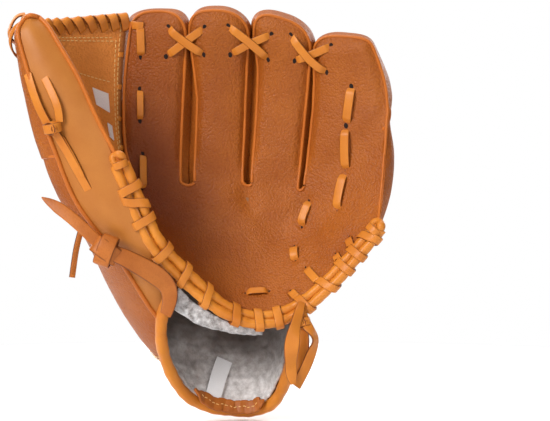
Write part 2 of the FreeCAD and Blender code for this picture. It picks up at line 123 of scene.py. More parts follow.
class Net:
    """Surface through a net of points. side turns depth() towards the inside of the glove."""

    def __init__(self, rows, side, first_row=0):
        self.g = np.array(rows, float)
        self.side = side
        self.first = first_row

    def at(self, u, v):
        u, v = np.broadcast_arrays(np.asarray(u, float), np.asarray(v, float))
        shape = u.shape
        wu = spline_weights(self.g.shape[1], u)
        wv = spline_weights(self.g.shape[0], v + self.first)
        return np.einsum("nc,nr,rcx->nx", wu, wv, self.g).reshape(shape + (3,))

    def normal(self, u, v):
        u, v = np.broadcast_arrays(np.asarray(u, float), np.asarray(v, float))
        h = 0.01
        a = self.at(u + h, v) - self.at(u - h, v)
        b = self.at(u, v + h) - self.at(u, v - h)
        return unit(np.cross(a, b)) * self.side

    def depth(self, u, v, d):
        return self.at(u, v) + self.normal(u, v) * np.asarray(d, float)[..., None]


palm = Net(PALM, -1)
back = Net(BACK, 1)
thumb = Net(THUMB, 1, 1)


def smooth(x, lo, hi):
    t = np.clip((np.asarray(x, float) - lo) / (hi - lo), 0, 1)
    return t * t * (3 - 2 * t)


def wave(p, size, seed=0.0):
    """A smooth wandering value from about -1 to 1 over points in mm. size is how wide its swells are."""
    q = np.asarray(p, float) / size
    x, y, z = q[..., 0] + seed * 1.7, q[..., 1] - seed * 2.3, q[..., 2] + seed * 0.9
    s = np.sin(x * 2.1 + 1.3 * np.sin(z * 1.3 + seed)) + np.sin(z * 2.4 + 1.1 * np.sin(y * 1.7 - seed))
    return (s + np.sin(y * 1.9 + 1.7 * np.sin(x * 1.1)) + 0.6 * np.sin((x + y - z) * 3.1)) / 3.6


# ---- Meshes ----
def make(name, verts, faces, material, edge=None, sharp=50, painted_shade=None):
    """A mesh object from points in mm. edge (dark seams and lace edges, with painted shade beside the piping
    and by the index finger) and the painted shade are 0 to 1 a point: 1 is darkest.
    """
    mesh = bpy.data.meshes.new(name)
    verts = np.asarray(verts, float) * MM
    mesh.from_pydata(verts.tolist(), [], [tuple(int(i) for i in f) for f in faces])
    mesh.validate()
    mesh.update()
    obj = bpy.data.objects.new(name, mesh)
    bpy.context.scene.collection.objects.link(obj)
    co = np.zeros(len(mesh.vertices) * 3)
    mesh.vertices.foreach_get("co", co)
    rest = mesh.attributes.new("rest", "FLOAT_VECTOR", "POINT")
    rest.data.foreach_set("vector", co.astype(np.float32))
    mark = mesh.attributes.new("edge", "FLOAT", "POINT")
    if edge is not None:
        mark.data.foreach_set("value", np.asarray(edge, np.float32))
    # the painted shade, kept on the points for the leather colour to darken by
    if painted_shade is not None:
        painted_shade_layer = mesh.attributes.new("painted_shade", "FLOAT", "POINT")
        painted_shade_layer.data.foreach_set("value", np.asarray(painted_shade, np.float32))
    mesh.materials.append(material)
    mesh.shade_smooth()
    mesh.set_sharp_from_angle(angle=math.radians(sharp))
    return obj


def grid_faces(rows, cols, closed_cols=False, flip=False):
    """Quads of a grid whose points are numbered row by row."""
    out = []
    for r in range(rows - 1):
        for c in range(cols - (0 if closed_cols else 1)):
            a = r * cols + c
            b = r * cols + (c + 1) % cols
            d = a + cols
            e = b + cols
            out.append((a, d, e, b) if flip else (a, b, e, d))
    return out


def weld(verts, faces, *data):
    """Joins points that lie in one place."""
    key = np.round(verts * 200).astype(np.int64)
    _, first, inverse = np.unique(key, axis=0, return_index=True, return_inverse=True)
    inverse = inverse.ravel()
    kept = []
    for f in faces:
        g = [inverse[i] for i in f]
        g = [g[i] for i in range(len(g)) if g[i] != g[i - 1]]
        if len(set(g)) >= 3:
            kept.append(tuple(g))
    return [verts[first], kept] + [d[first] for d in data]


def boundary(faces):
    """Directed edges that only one face uses."""
    seen = {}
    for f in faces:
        for i in range(len(f)):
            a, b = f[i], f[(i + 1) % len(f)]
            seen[(a, b)] = seen.get((a, b), 0) + 1
    return [e for e in seen if (e[1], e[0]) not in seen]


def thick(outer, inner, faces):
    """Two skins and the rims between them."""
    n = len(outer)
    verts = np.vstack([outer, inner])
    out = list(faces) + [tuple(i + n for i in reversed(f)) for f in faces]
    for a, b in boundary(faces):
        out.append((b, a, a + n, b + n))
    return verts, out


def frames(path, normals=None):
    """Side and up at each point of a path. Without normals the frame turns as little as it can."""
    t = unit(np.gradient(path, axis=0))
    if normals is None:
        up = np.array([0.31, 0.22, 0.93])
        if abs(up @ t[0]) > 0.9:
            up = np.array([0.9, -0.4, 0.1])
        ups = []
        for row in t:
            up = unit(up - row * (up @ row))
            ups.append(up)
        ups = np.array(ups)
    else:
        ups = np.broadcast_to(np.asarray(normals, float), path.shape)
        ups = unit(ups - t * (ups * t).sum(-1, keepdims=True))
    return np.cross(t, ups), ups


def sweep(path, section, scale=1.0, normals=None, caps=True):
    """Points and faces of a section swept along a path. scale is one figure, or one or two a point."""
    path = np.asarray(path, float)
    side, up = frames(path, normals)
    scale = np.asarray(scale, float)
    if scale.ndim == 0:
        scale = np.full((len(path), 2), float(scale))
    elif scale.ndim == 1:
        scale = np.repeat(scale[:, None], 2, 1)
    section = np.asarray(section, float)
    verts = (path[:, None] + side[:, None] * (section[None, :, :1] * scale[:, None, :1])
             + up[:, None] * (section[None, :, 1:] * scale[:, None, 1:]))
    rows, cols = verts.shape[:2]
    faces = grid_faces(rows, cols, closed_cols=True, flip=True)
    verts = verts.reshape(-1, 3)
    if caps:
        faces.append(tuple(range(cols)))
        faces.append(tuple(rows * cols - 1 - i for i in range(cols)))
    return verts, faces


def circle(sides=16):
    a = np.linspace(0, 2 * np.pi, sides, endpoint=False)
    return np.stack([np.cos(a), np.sin(a)], 1)


def flat_section(width, thickness, sides=20):
    """A strap's section: flat faces with rounded edges."""
    a = np.linspace(0, 2 * np.pi, sides, endpoint=False)
    x = np.sign(np.cos(a)) * np.abs(np.cos(a)) ** 0.32
    y = np.sign(np.sin(a)) * np.abs(np.sin(a)) ** 0.75
    return np.stack([x * width / 2, y * thickness / 2], 1)


def skin(name, outer, inner, material, edge=None, sharp=180, flip=False):
    """A sheet between two grids of points."""
    faces = grid_faces(*outer.shape[:2], flip=flip)
    verts, faces = thick(outer.reshape(-1, 3), inner.reshape(-1, 3), faces)
    return make(name, verts, faces, material, edge, sharp)


class Pile:
    """Gathers swept pieces that make one object."""

    def __init__(self):
        self.v, self.f, self.e, self.n = [], [], [], 0

    def add(self, verts, faces, edge=None):
        self.v.append(verts)
        self.f += [tuple(i + self.n for i in f) for f in faces]
        self.e.append(np.zeros(len(verts)) if edge is None else edge)
        self.n += len(verts)

    def piece(self, name, material, slot, place, *nodes):
        """The gathered pieces as one finished object."""
        obj = make(name, np.vstack(self.v), self.f, material, np.concatenate(self.e))
        return done(obj, slot, place, *nodes)


def band(pile, path, normals, width, thickness, count=None, scale=None):
    """A leather lace along a path, its edges marked darker."""
    section = flat_section(width, thickness)
    path = np.asarray(path, float)
    normals = np.broadcast_to(np.asarray(normals, float), path.shape)
    if count:
        normals = spline_line(normals, count)
        if scale is not None:
            scale = spline_line(np.asarray(scale, float), count)
        path = spline_line(path, count)
    v, f = sweep(path, section, 1.0 if scale is None else scale, normals)
    side = np.abs(section[:, 0]) / (width / 2)
    e = np.tile(smooth(side, 0.86, 1.0), len(path))
    pile.add(v, f, e * 0.9)


def tube(pile, path, radius, sides=14, count=None):
    """A round cord along a path, of one radius or one a point."""
    path = np.asarray(path, float)
    radius = np.broadcast_to(np.asarray(radius, float), (len(path),))
    if count:
        radius = spline_line(radius[:, None], count)[:, 0]
        path = spline_line(path, count)
    pile.add(*sweep(path, circle(sides), radius))


# thickness of lace leather, then a stitch's length, the gap after it and the thread's radius
LACE = 1.5
STITCH, STITCH_GAP, THREAD_R = 2.5, 1.1, 0.38


def stitches(pile, path, normals):
    """A row of thread stitches along a path."""
    path = np.asarray(path, float)
    normals = np.broadcast_to(np.asarray(normals, float), path.shape)
    step = np.linalg.norm(np.diff(path, axis=0), axis=1)
    s = np.concatenate([[0], np.cumsum(step)])
    ends = np.array([0.55, 0.95, 1, 1, 0.95, 0.55]) * THREAD_R
    for a in np.arange(STITCH_GAP, s[-1] - STITCH, STITCH + STITCH_GAP):
        x = np.linspace(a, a + STITCH, 6)
        p = np.stack([np.interp(x, s, path[:, k]) for k in range(3)], 1)
        n = unit(np.stack([np.interp(x, s, normals[:, k]) for k in range(3)], 1))
        arch = np.sin(np.linspace(0, np.pi, 6)) * THREAD_R * 0.9 - 0.25 + 0.15
        pile.add(*sweep(p + n * arch[:, None], circle(7), ends))


# ---- Materials ----
def rgb(shown):
    """Linear colour from display values 0 to 255."""
    linear = [c / 255 / 12.92 if c / 255 <= 0.04045 else ((c / 255 + 0.055) / 1.055) ** 2.4 for c in shown]
    return tuple(linear) + (1.0,)


def feed(tree, target, inputs):
    """Gives each input, by name or number, a value or a link from another node's output."""
    for key, value in inputs.items():
        if isinstance(value, bpy.types.NodeSocket):
            tree.links.new(value, target.inputs[key])
        else:
            target.inputs[key].default_value = value
    return target


def node(tree, kind, inputs, **settings):
    made = tree.nodes.new("ShaderNode" + kind)
    for key, value in settings.items():
        setattr(made, key, value)
    return feed(tree, made, inputs)


def new_material(name):
    """A material, its node tree, its surface node, and the rest position that its patterns follow."""
    mat = bpy.data.materials.new(name)
    mat.use_nodes = True
    tree = mat.node_tree
    tree.nodes.clear()
    surface = node(tree, "BsdfPrincipled", {})
    node(tree, "OutputMaterial", {0: surface.outputs[0]})
    rest = node(tree, "Attribute", {}, attribute_name="rest").outputs["Vector"]
    return mat, tree, surface, rest


def mixed(tree, a, b, factor):
    """Colour a, turning to colour b as factor goes from 0 to 1."""
    return node(tree, "Mix", {"A": a, "B": b, "Factor": factor}, data_type="RGBA").outputs["Result"]


def ramp(tree, value, low, high, bottom=0.0, top=1.0):
    """value mapped from the range low to high onto bottom to top."""
    ends = {"From Min": low, "From Max": high, "To Min": bottom, "To Max": top}
    return node(tree, "MapRange", {"Value": value, **ends}).outputs[0]


def leather(name, base, dark, roughness, grain, relief, edge_dark, blotch):
    """Grained leather. blotch and the grain's pits go towards dark; painted shade and the edge marks of seams
    and lace edges, some of them painted shade too, go darker still.
    """
    base, dark, edge_dark = rgb(base), rgb(dark), rgb(edge_dark)
    mat, tree, surface, rest = new_material(name)
    cells = node(tree, "TexVoronoi", {"Scale": grain, "Vector": rest}).outputs["Distance"]
    fine = node(tree, "TexNoise", {"Scale": grain * 2.2, "Detail": 4, "Vector": rest}).outputs[0]
    broad = node(tree, "TexNoise", {"Scale": 38, "Detail": 5, "Vector": rest}).outputs[0]
    edge = node(tree, "Attribute", {}, attribute_name="edge").outputs["Fac"]
    painted_shade = node(tree, "Attribute", {}, attribute_name="painted_shade").outputs["Fac"]
    # colour of the painted shade: the dark colour made deeper and redder
    painted_shade_colour = tuple(c * k for c, k in zip(dark[:3], (0.62, 0.46, 0.42))) + (1.0,)
    colour = mixed(tree, base, dark, ramp(tree, broad, 0.35, 0.75, 0.0, blotch))
    colour = mixed(tree, colour, dark, ramp(tree, cells, 0.45, 0.85, 0.0, 0.4 * min(1.0, relief * 3)))
    colour = mixed(tree, colour, painted_shade_colour, painted_shade)
    colour = mixed(tree, colour, edge_dark, edge)
    half = node(tree, "Math", {0: fine, 1: 0.6}, operation="MULTIPLY").outputs[0]
    height = node(tree, "Math", {0: cells, 1: -1.0, 2: half}, operation="MULTIPLY_ADD").outputs[0]
    bump = {"Strength": min(1.0, relief * 2), "Distance": 0.0004 * relief * 2, "Height": height}
    feed(tree, surface, {
        "Base Color": colour,
        "Normal": node(tree, "Bump", bump).outputs[0],
        "Roughness": ramp(tree, fine, 0.0, 1.0, roughness - 0.06, roughness + 0.10),
        "Specular IOR Level": 0.24,
    })
    return mat


def cloth(name, base, dark, roughness, scale, relief, sheen, painted_shade_heights=None, top=None):
    """Woven or woolly cloth. The heights, in metres, are where its colour starts and ends turning to top: a
    painted shade that is darker higher up.
    """
    mat, tree, surface, rest = new_material(name)
    weave = {"Scale": scale, "Detail": 6, "Roughness": 0.7, "Vector": rest}
    weave = node(tree, "TexNoise", weave).outputs[0]
    colour = mixed(tree, rgb(base), rgb(dark), ramp(tree, weave, 0.35, 0.7))
    # painted shade: the colour turns to top as the height rises
    if painted_shade_heights:
        broad = node(tree, "TexNoise", {"Scale": 30, "Vector": rest}).outputs[0]
        z = node(tree, "SeparateXYZ", {0: rest}).outputs["Z"]
        sway = node(tree, "Math", {0: broad, 1: 0.05, 2: z}, operation="MULTIPLY_ADD").outputs[0]
        colour = mixed(tree, colour, rgb(top), ramp(tree, sway, painted_shade_heights[0] + 0.025, painted_shade_heights[1] + 0.025))
    feed(tree, surface, {
        "Base Color": colour,
        "Normal": node(tree, "Bump", {"Strength": relief, "Distance": 0.0006, "Height": weave}).outputs[0],
        "Roughness": roughness,
        "Sheen Weight": sheen,
    })
    return mat


M_PALM = leather("palm_leather", (166, 90, 26), (136, 64, 16), 0.42, 620, 0.6, (60, 20, 6), 0.6)
M_SIDE = leather("stall_leather", (164, 90, 30), (134, 64, 18), 0.44, 620, 0.5, (50, 18, 6), 0.5)
M_OUTER = leather("smooth_tan_leather", (180, 112, 48), (160, 92, 34), 0.42, 1100, 0.12, (100, 44, 16), 0.6)
M_BIND = leather("binding_leather", (214, 134, 46), (184, 100, 28), 0.34, 1300, 0.1, (96, 40, 8), 0.7)
M_LACE = leather("lace_leather", (208, 128, 46), (176, 94, 26), 0.36, 1500, 0.12, (92, 38, 8), 0.7)
M_WELT = leather("welt_leather", (190, 104, 34), (156, 76, 20), 0.40, 1500, 0.08, (80, 30, 8), 0.4)
M_STRAP = leather("strap_leather", (184, 106, 42), (146, 74, 24), 0.42, 900, 0.2, (80, 32, 10), 0.7)
# the fleece turns dark grey higher up inside the glove: painted shade where the inside lies in shadow
M_FLEECE = cloth("fleece", (236, 232, 230), (168, 160, 156), 0.95, 160, 0.9, 0.3,
                 (-0.016, 0.030), (88, 78, 72))
M_FLEECE_EDGE = cloth("fleece_edge", (206, 204, 204), (110, 104, 100), 0.9, 260, 1.0, 0.3)
M_LINING = cloth("lining_cloth", (150, 100, 64), (128, 82, 50), 0.9, 1500, 0.4, 0.1)
M_LABEL = cloth("label_cloth", (240, 240, 240), (228, 228, 230), 0.6, 2500, 0.15, 0.0)
M_THREAD = cloth("thread", (232, 190, 120), (214, 166, 92), 0.6, 3000, 0.2, 0.0)
# the web: the palm's leather painted lighter to make up for the thumb's shade over it, a painted light
M_WEB_PAINTED_LIGHT = leather("web_leather_painted_light", (220, 136, 60), (190, 108, 44), 0.42, 620, 0.5, (60, 20, 6), 0.5)
M_MARK = cloth("white_satin_stitch", (238, 230, 226), (214, 200, 196), 0.5, 2500, 0.3, 0.0)
M_HOLE = cloth("hole_shadow", (34, 18, 10), (26, 14, 8), 1.0, 800, 0.0, 0.0)


def bend_thumb(obj):
    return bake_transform(obj)


def bend_pinky(obj):
    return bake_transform(obj)


def on_palm(obj):
    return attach(obj, "palm")


def done(obj, slot, place, *nodes):
    if nodes:
        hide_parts(*nodes)
    place(obj)
    return obj


# ---- Fingers and palm leather ----
EDGE_V = np.array([3.0, 3.5, 4.0, 4.4, 4.73])
EDGES = {
    "index": ((2.00, 2.00, 2.01, 2.02, 2.03), (2.91, 2.92, 2.925, 2.945, 2.965)),
    "middle": ((3.13, 3.15, 3.15, 3.09, 3.035), (3.94, 3.93, 3.905, 3.92, 3.955)),
    "ring": ((4.12, 4.12, 4.105, 4.10, 4.04), (4.955, 4.945, 4.935, 4.94, 4.95)),
    "pinky": ((5.05, 5.05, 5.05, 5.035, 5.005), (5.97, 5.97, 5.97, 5.97, 5.97)),
}
FINGERS = list(EDGES)
TIP_BASE = 4.73
# how far each tip rises over TIP_BASE, and how square its left and right corners are
TIPS = {
    "index": (0.30, 3.6, 2.4), "middle": (0.32, 3.2, 2.5),
    "ring": (0.36, 3.4, 2.6), "pinky": (0.30, 2.6, 3.4),
}


def edge_line(values, v):
    return np.interp(v, EDGE_V, values)


def finger_edges(name, v):
    left, right = EDGES[name]
    return edge_line(left, v), edge_line(right, v)


def tip_top(name, x):
    rise, left, right = TIPS[name]
    n = np.where(np.asarray(x) < 0, left, right)
    return TIP_BASE + rise * (1 - np.clip(np.abs(x), 0, 1) ** n) ** (1 / n)


def finger_uv(name, x, t):
    """Net coordinates of the finger's face: x from -1 to 1 across, t from 0 at the root to 1 at the tip."""
    v = 3.0 + (tip_top(name, x) - 3.0) * t
    left, right = finger_edges(name, v)
    return (left + right) / 2 + (right - left) / 2 * x, v


def face_rise(x, t):
    """Depth of the padded finger face: crowned forward (negative) in the middle, rolled back at its edges."""
    x = np.clip(np.abs(x), 0, 1)
    full = smooth(t, 0.0, 0.25)
    end = smooth(t, 0.86, 1.0)
    crown = -3.2 * (1 - x ** 2.6) * full * (1 - 0.8 * end)
    roll = 2.2 * smooth(x, 0.7, 1.0) ** 1.4
    return crown + np.maximum(roll * full, 2.2 * smooth(t, 0.93, 1.0) ** 1.4 * full)


HOLES = []


def dimple(points):
    """How far leather is pulled in around the lace holes, for points in mm."""
    sink = np.zeros(points.shape[:-1])
    for hole, radius, deep in HOLES:
        d = np.linalg.norm(points - hole, axis=-1)
        sink = np.maximum(sink, deep * np.exp(-(d / radius) ** 2))
    return sink


# Where the leather sinks or swells: centre and reach in net coordinates, depth in mm
PALM_DENTS = [
    (4.02, 2.66, 0.16, 0.30, 3.0), (3.02, 2.70, 0.14, 0.26, 1.8), (5.0, 2.55, 0.14, 0.30, 2.0),
    (3.5, 2.62, 0.30, 0.34, -1.8), (4.5, 2.60, 0.28, 0.34, -1.6), (2.5, 2.5, 0.30, 0.4, -1.2),
    (3.0, 1.75, 0.9, 0.30, 1.2), (4.7, 1.7, 0.5, 0.35, 1.4), (5.45, 1.2, 0.22, 0.5, -1.6),
]


def palm_point(u, v, extra=0.0):
    base = palm.at(u, v)
    n = palm.normal(u, v)
    swell = 0.45 * wave(base, 26.0, 0.4) + 0.2 * wave(base, 9.0, 1.9)
    for cu, cv, ru, rv, deep in PALM_DENTS:
        swell = swell + deep * np.exp(-((u - cu) / ru) ** 2 - ((v - cv) / rv) ** 2)
    return base + n * (np.asarray(extra) + swell + dimple(base))[..., None], n


def palm_height(u, v):
    """Depth of the visible leather at net coordinates, for things that lie on it."""
    u, v = np.broadcast_arrays(np.asarray(u, float), np.asarray(v, float))
    out = np.zeros(u.shape)
    for name in EDGES:
        left, right = finger_edges(name, v)
        x = (u - (left + right) / 2) / ((right - left) / 2)
        inside = (np.abs(x) <= 1.02) & (v > 3.0)
        t = (v - 3.0) / np.maximum(tip_top(name, np.clip(x, -1, 1)) - 3.0, 1e-6)
        out = np.where(inside, face_rise(x, t), out)
    return out


def on_leather(u, v, lift):
    """Point and outward normal at lift mm over the palm leather."""
    base, n = palm_point(u, v, palm_height(u, v))
    return base - n * np.asarray(lift, float)[..., None], -n


# Lace holes in the palm leather: net coordinates
LACE_HOLES = [
    (2.652, 4.86), (2.637, 4.514), (3.304, 4.861), (3.272, 4.532),
    (3.658, 4.877), (3.663, 4.528), (4.325, 4.869), (4.281, 4.542),
    (4.627, 4.93), (4.706, 4.62), (5.308, 4.886), (5.253, 4.49),
    (2.19, 4.86), (2.217, 4.487), (2.242, 4.102), (2.261, 3.717), (2.303, 3.309), (2.185, 2.596),
    (5.599, 4.161), (5.545, 3.545), (5.545, 2.724), (5.443, 1.844),
    (5.113, 2.621), (4.95, 1.925), (4.759, 1.435), (4.7, 1.072), (4.049, 0.591), (3.555, 0.601),
    (5.521, 0.82), (5.30, 0.62), (4.828, 0.80), (4.437, 0.46),
]
for u, v in LACE_HOLES:
    HOLES.append((palm.at(u, v) + palm.normal(u, v) * palm_height(u, v), 2.6, 1.3))

SLIT_TOP = 3.0
SLIT_END = 2.93
THUMB_TOP = 4.93
LEATHER = 2.0


def palm_sheet(name, segments, material):
    """One leather sheet: the palm below row 3 and the fingers or the thumb's inner face above it."""
    verts, faces, marks, total = [], [], [], 0
    low = np.concatenate([np.linspace(0.02, 2.85, 60), [2.89, SLIT_END]])
    curve = SLIT_END + (SLIT_TOP - SLIT_END) * np.linspace(0, 1, 7)[1:] ** 2
    rows_v = np.concatenate([low, curve])
    open_share = np.sqrt(np.clip((rows_v - SLIT_END) / (SLIT_TOP - SLIT_END), 0, 1))
    for kind, left, right, cols in segments:
        if kind in EDGES:
            own = EDGES[kind][0][0], EDGES[kind][1][0]
            x = np.sin(np.linspace(-1, 1, cols) * np.pi / 2 * 0.985) / math.sin(np.pi / 2 * 0.985)
            a = left + (own[0] - left) * open_share
            b = right + (own[1] - right) * open_share
            up = np.linspace(0, 1, 66)[1:]
            u0 = (a + b)[:, None] / 2 + (b - a)[:, None] / 2 * x
            v0 = np.repeat(rows_v[:, None], cols, 1)
            u1, v1 = finger_uv(kind, x[None, :], up[:, None])
            d1 = face_rise(x[None, :], up[:, None])
            u, v = np.vstack([u0, u1]), np.vstack([v0, v1])
            d = np.vstack([np.zeros(u0.shape), d1])
            # each finger face darkens at its very edge along the piping: painted shade in the crease
            piping_crease_shade = np.broadcast_to(smooth(np.abs(x), 0.985, 1.0) * 0.8, u1.shape)
            mark = np.vstack([np.zeros(u0.shape), piping_crease_shade])
        else:
            x = np.linspace(0, 1, cols)
            v = rows_v
            if kind == "thumb":
                v = np.concatenate([rows_v, np.linspace(SLIT_TOP, THUMB_TOP, 46)[1:]])
            u = np.repeat((left + (right - left) * x)[None, :], len(v), 0)
            v = np.repeat(v[:, None], cols, 1)
            d = np.zeros(u.shape)
            mark = np.zeros(u.shape)
        points, n = palm_point(u, v, d)
        # painted shade: darkest in the pocket round the root of the index stall, and darker towards the thumb
        # side
        painted_shade = 0.66 * np.exp(-((u - 2.35) / 0.95) ** 2 - ((v - 2.6) / 1.5) ** 2)
        painted_shade = painted_shade + 0.22 * (1 - smooth(u, 2.0, 4.2))
        rows = points.shape[0]
        faces += [tuple(i + total for i in f) for f in grid_faces(rows, cols)]
        verts.append(np.concatenate([points.reshape(-1, 3), n.reshape(-1, 3), painted_shade.reshape(-1, 1)], 1))
        marks.append(mark.ravel())
        total += rows * cols
    verts, marks = np.vstack(verts), np.concatenate(marks)
    outer, faces, n, marks, painted_shade = weld(verts[:, :3], faces, verts[:, 3:6], marks, verts[:, 6])
    skin, faces = thick(outer, outer + n * LEATHER, faces)
    return make(name, skin, faces, material, np.tile(marks, 2), 60, np.tile(painted_shade, 2))


# columns midway between the fingers
MID3, MID4, MID5 = 3.02, 4.03, 5.0
left_sheet = palm_sheet("palm_leather_thumb_side", [
    ("thumb", 0.02, 0.985, 18), ("web_root", 0.985, 2.0, 22),
    ("index", 2.0, MID3, 34), ("middle", MID3, MID4, 34)], M_PALM)
done(left_sheet, "palm_leather", bend_thumb, "palm_shell", "thumb_shell")
right_sheet = palm_sheet("palm_leather_pinky_side", [
    ("ring", MID4, MID5, 34), ("pinky", MID5, 5.97, 44)], M_PALM)
done(right_sheet, "palm_leather", bend_pinky, "palm_shell", "pinky_shell")

# ---- Finger stalls: the leather that goes round the back of each finger ----
# full depth of a stall in mm, and how much of it is lost for each row below row 3.6
DEPTHS = {"index": (26.0, 16.0), "middle": (26.0, 7.0), "ring": (26.0, 7.0), "pinky": (26.0, 7.0)}


def outline(name, side_rows, tip_cols, start=0.0):
    """Net coordinates along a finger's outline, from its left root over the tip to its right root."""
    t = np.linspace(start, 1, side_rows)
    ul, vl = finger_uv(name, np.full(side_rows, -1.0), t)
    x = np.sin(np.linspace(-1, 1, tip_cols) * np.pi / 2)
    ut, vt = finger_uv(name, x, np.ones(tip_cols))
    ur, vr = finger_uv(name, np.full(side_rows, 1.0), t[::-1])
    return np.concatenate([ul, ut[1:-1], ur]), np.concatenate([vl, vt[1:-1], vr])


def spread(name, v):
    """How far, in columns, a stall swells past its face's edges: as far as the next stall, if it has one."""
    k = FINGERS.index(name)
    left, right = finger_edges(name, v)
    if name == "index":
        to_left = np.full(v.shape, 0.035)
    else:
        to_left = np.maximum((left - finger_edges(FINGERS[k - 1], v)[1]) / 2 + 0.022, 0)
    if name == "pinky":
        to_right = 0.05 * smooth(v, 2.95, 3.7) - 0.045 - 0.04 * smooth(v, 3.9, 4.9)
    else:
        to_right = np.maximum((finger_edges(FINGERS[k + 1], v)[0] - right) / 2 + 0.022, 0)
    return to_left, to_right


STALL_SQUARE = 3.6


def stall(name):
    """The leather round a finger's sides and back, from the outline of its face to its middle line behind."""
    u, v = outline(name, 46, 30, -0.03)
    depth, taper = DEPTHS[name]
    left, right = finger_edges(name, v)
    mid = (left + right) / 2
    x = (u - mid) / ((right - left) / 2)
    to_left, to_right = spread(name, v)
    swell = np.where(x < 0, -to_left, to_right) * np.abs(x) ** 3
    cv = np.minimum(v, 4.55)
    theta = np.linspace(0, np.pi / 2, 30)
    c = np.cos(theta) ** (2 / STALL_SQUARE)
    s = np.sin(theta) ** (2 / STALL_SQUARE)
    grow = smooth(s, 0.02, 0.42)
    pu = mid[:, None] + (u - mid)[:, None] * c + swell[:, None] * grow * c
    pv = cv[:, None] + (v - cv)[:, None] * c * (1 + 0.1 * np.sin(np.clip(theta * 2, 0, np.pi)))
    full = (depth - taper * np.clip(3.6 - v, 0, None))[:, None]
    if name == "index":
        full = full - 5.0 * (1 - smooth(v, 3.1, 3.9))[:, None]
    d = 2.3 + (full - 2.3) * s
    base = palm.depth(pu, pv, d)
    nrm = palm.normal(pu, pv)
    base = base + nrm * (0.5 * wave(base, 15.0, 2.0))[..., None]
    outer, faces = weld(base.reshape(-1, 3), grid_faces(*base.shape[:2], flip=True))
    return make(name + "_stall", outer, faces, M_SIDE, None, 70)


FINGER_PLACE = {"index": bend_thumb, "middle": on_palm, "ring": bend_pinky, "pinky": bend_pinky}
for finger in FINGERS:
    done(stall(finger), "palm_leather", FINGER_PLACE[finger], finger + "_back", finger + "_liner")


def piping(finger, u, v):
    """The thin welt along a stall's outline, given in net coordinates."""
    points, n = palm_point(u, v)
    points = points + n * (2.0 * smooth(v, 2.98, 3.3))[:, None]
    path = spline_line(points, len(points) * 2)
    swell = 1.15 * (1 + 0.06 * np.sin(np.arange(len(points)) * 0.9))
    radius = np.interp(np.linspace(0, 1, len(path)), np.linspace(0, 1, len(points)), swell)
    pile = Pile()
    pile.add(*sweep(path, circle(12), radius))
    pile.piece(finger + "_piping", M_WELT, "binding_leather", FINGER_PLACE[finger], finger + "_welt")


def slit_bottom(left_name, right_name):
    """The U at the root of a slit, from the left finger's edge to the right finger's."""
    a = EDGES[left_name][1][0]
    b = EDGES[right_name][0][0]
    angle = np.linspace(0, np.pi, 9)
    u = (a + b) / 2 - (b - a) / 2 * np.cos(angle)
    v = SLIT_TOP - (SLIT_TOP - SLIT_END) * np.sin(angle)
    return u, v


for i, finger in enumerate(FINGERS):
    u, v = outline(finger, 34, 26)
    if finger != "pinky":
        ub, vb = slit_bottom(finger, FINGERS[i + 1])
        u, v = np.concatenate([u, ub[1:-1]]), np.concatenate([v, vb[1:-1]])
    else:
        keep = v > 2.99
        u = np.concatenate([u[keep], np.full(30, 5.97)])
        v = np.concatenate([v[keep], np.linspace(2.96, 0.35, 30)])
    piping(finger, u, v)

# ---- Back of the hand, thumb stall and the thumb's outer panel ----
# the finger window: centre X and Z, and half its width and height, in mm
WINDOW = (-6.0, 96.0, 31.0, 17.0)
BACK_TOP = 5.02


def shell(name, net, u, v, material, extra=0.0, thickness=LEATHER, hole=None, mark=None):
    """A leather sheet over a grid of net coordinates, with an oval hole through the back of the hand."""
    points = net.at(u, v)
    n = net.normal(u, v)
    d = 0.4 * wave(points, 24.0, 0.7) + 0.15 * wave(points, 8.0, 2.2) + extra
    points = points + n * d[..., None]
    faces = grid_faces(*points.shape[:2], flip=True)
    flat, flat_n = points.reshape(-1, 3), n.reshape(-1, 3)
    if hole:
        hx, hz, rx, rz = hole
        e = np.hypot((flat[:, 0] - hx) / rx, (flat[:, 2] - hz) / rz)
        gone = (e < 1) & (flat[:, 1] > 5)
        faces = [f for f in faces if not all(gone[i] for i in f)]
        # points that faces round the hole still use move out to its edge
        for i in np.unique(faces):
            if gone[i]:
                flat[i, 0] = hx + (flat[i, 0] - hx) / e[i]
                flat[i, 2] = hz + (flat[i, 2] - hz) / e[i]
    used, numbers = np.unique(faces, return_inverse=True)
    outer, n = flat[used], flat_n[used]
    m = np.zeros(len(used)) if mark is None else mark.ravel()[used]
    skin, faces = thick(outer, outer + n * thickness, [tuple(f) for f in numbers.reshape(-1, 4)])
    return make(name, skin, faces, material, np.tile(m, 2), 60)


def back_top(u):
    """Where the back panels end: just past the finger roots, and higher beside the little finger."""
    return BACK_TOP + 1.25 * smooth(u, 5.0, 6.3)


# column where the back panels meet
SPLIT_U = 4.35
u, v = np.meshgrid(np.linspace(1.0, SPLIT_U, 110), np.linspace(0.05, BACK_TOP, 110))
obj = shell("back_panel_thumb_side", back, u, v, M_PALM, hole=WINDOW)
done(obj, "palm_leather", bend_thumb, "back_panel", "thumb_back_panel")
u, t = np.meshgrid(np.linspace(SPLIT_U, 6.97, 90), np.linspace(0, 1, 120))
v = 0.05 + (back_top(u) - 0.05) * t
obj = shell("back_panel_pinky_side", back, u, v, M_PALM, extra=3.0 * smooth(v, 5.2, 6.1), hole=WINDOW)
done(obj, "palm_leather", bend_pinky, "back_panel", "pinky_side_panel")

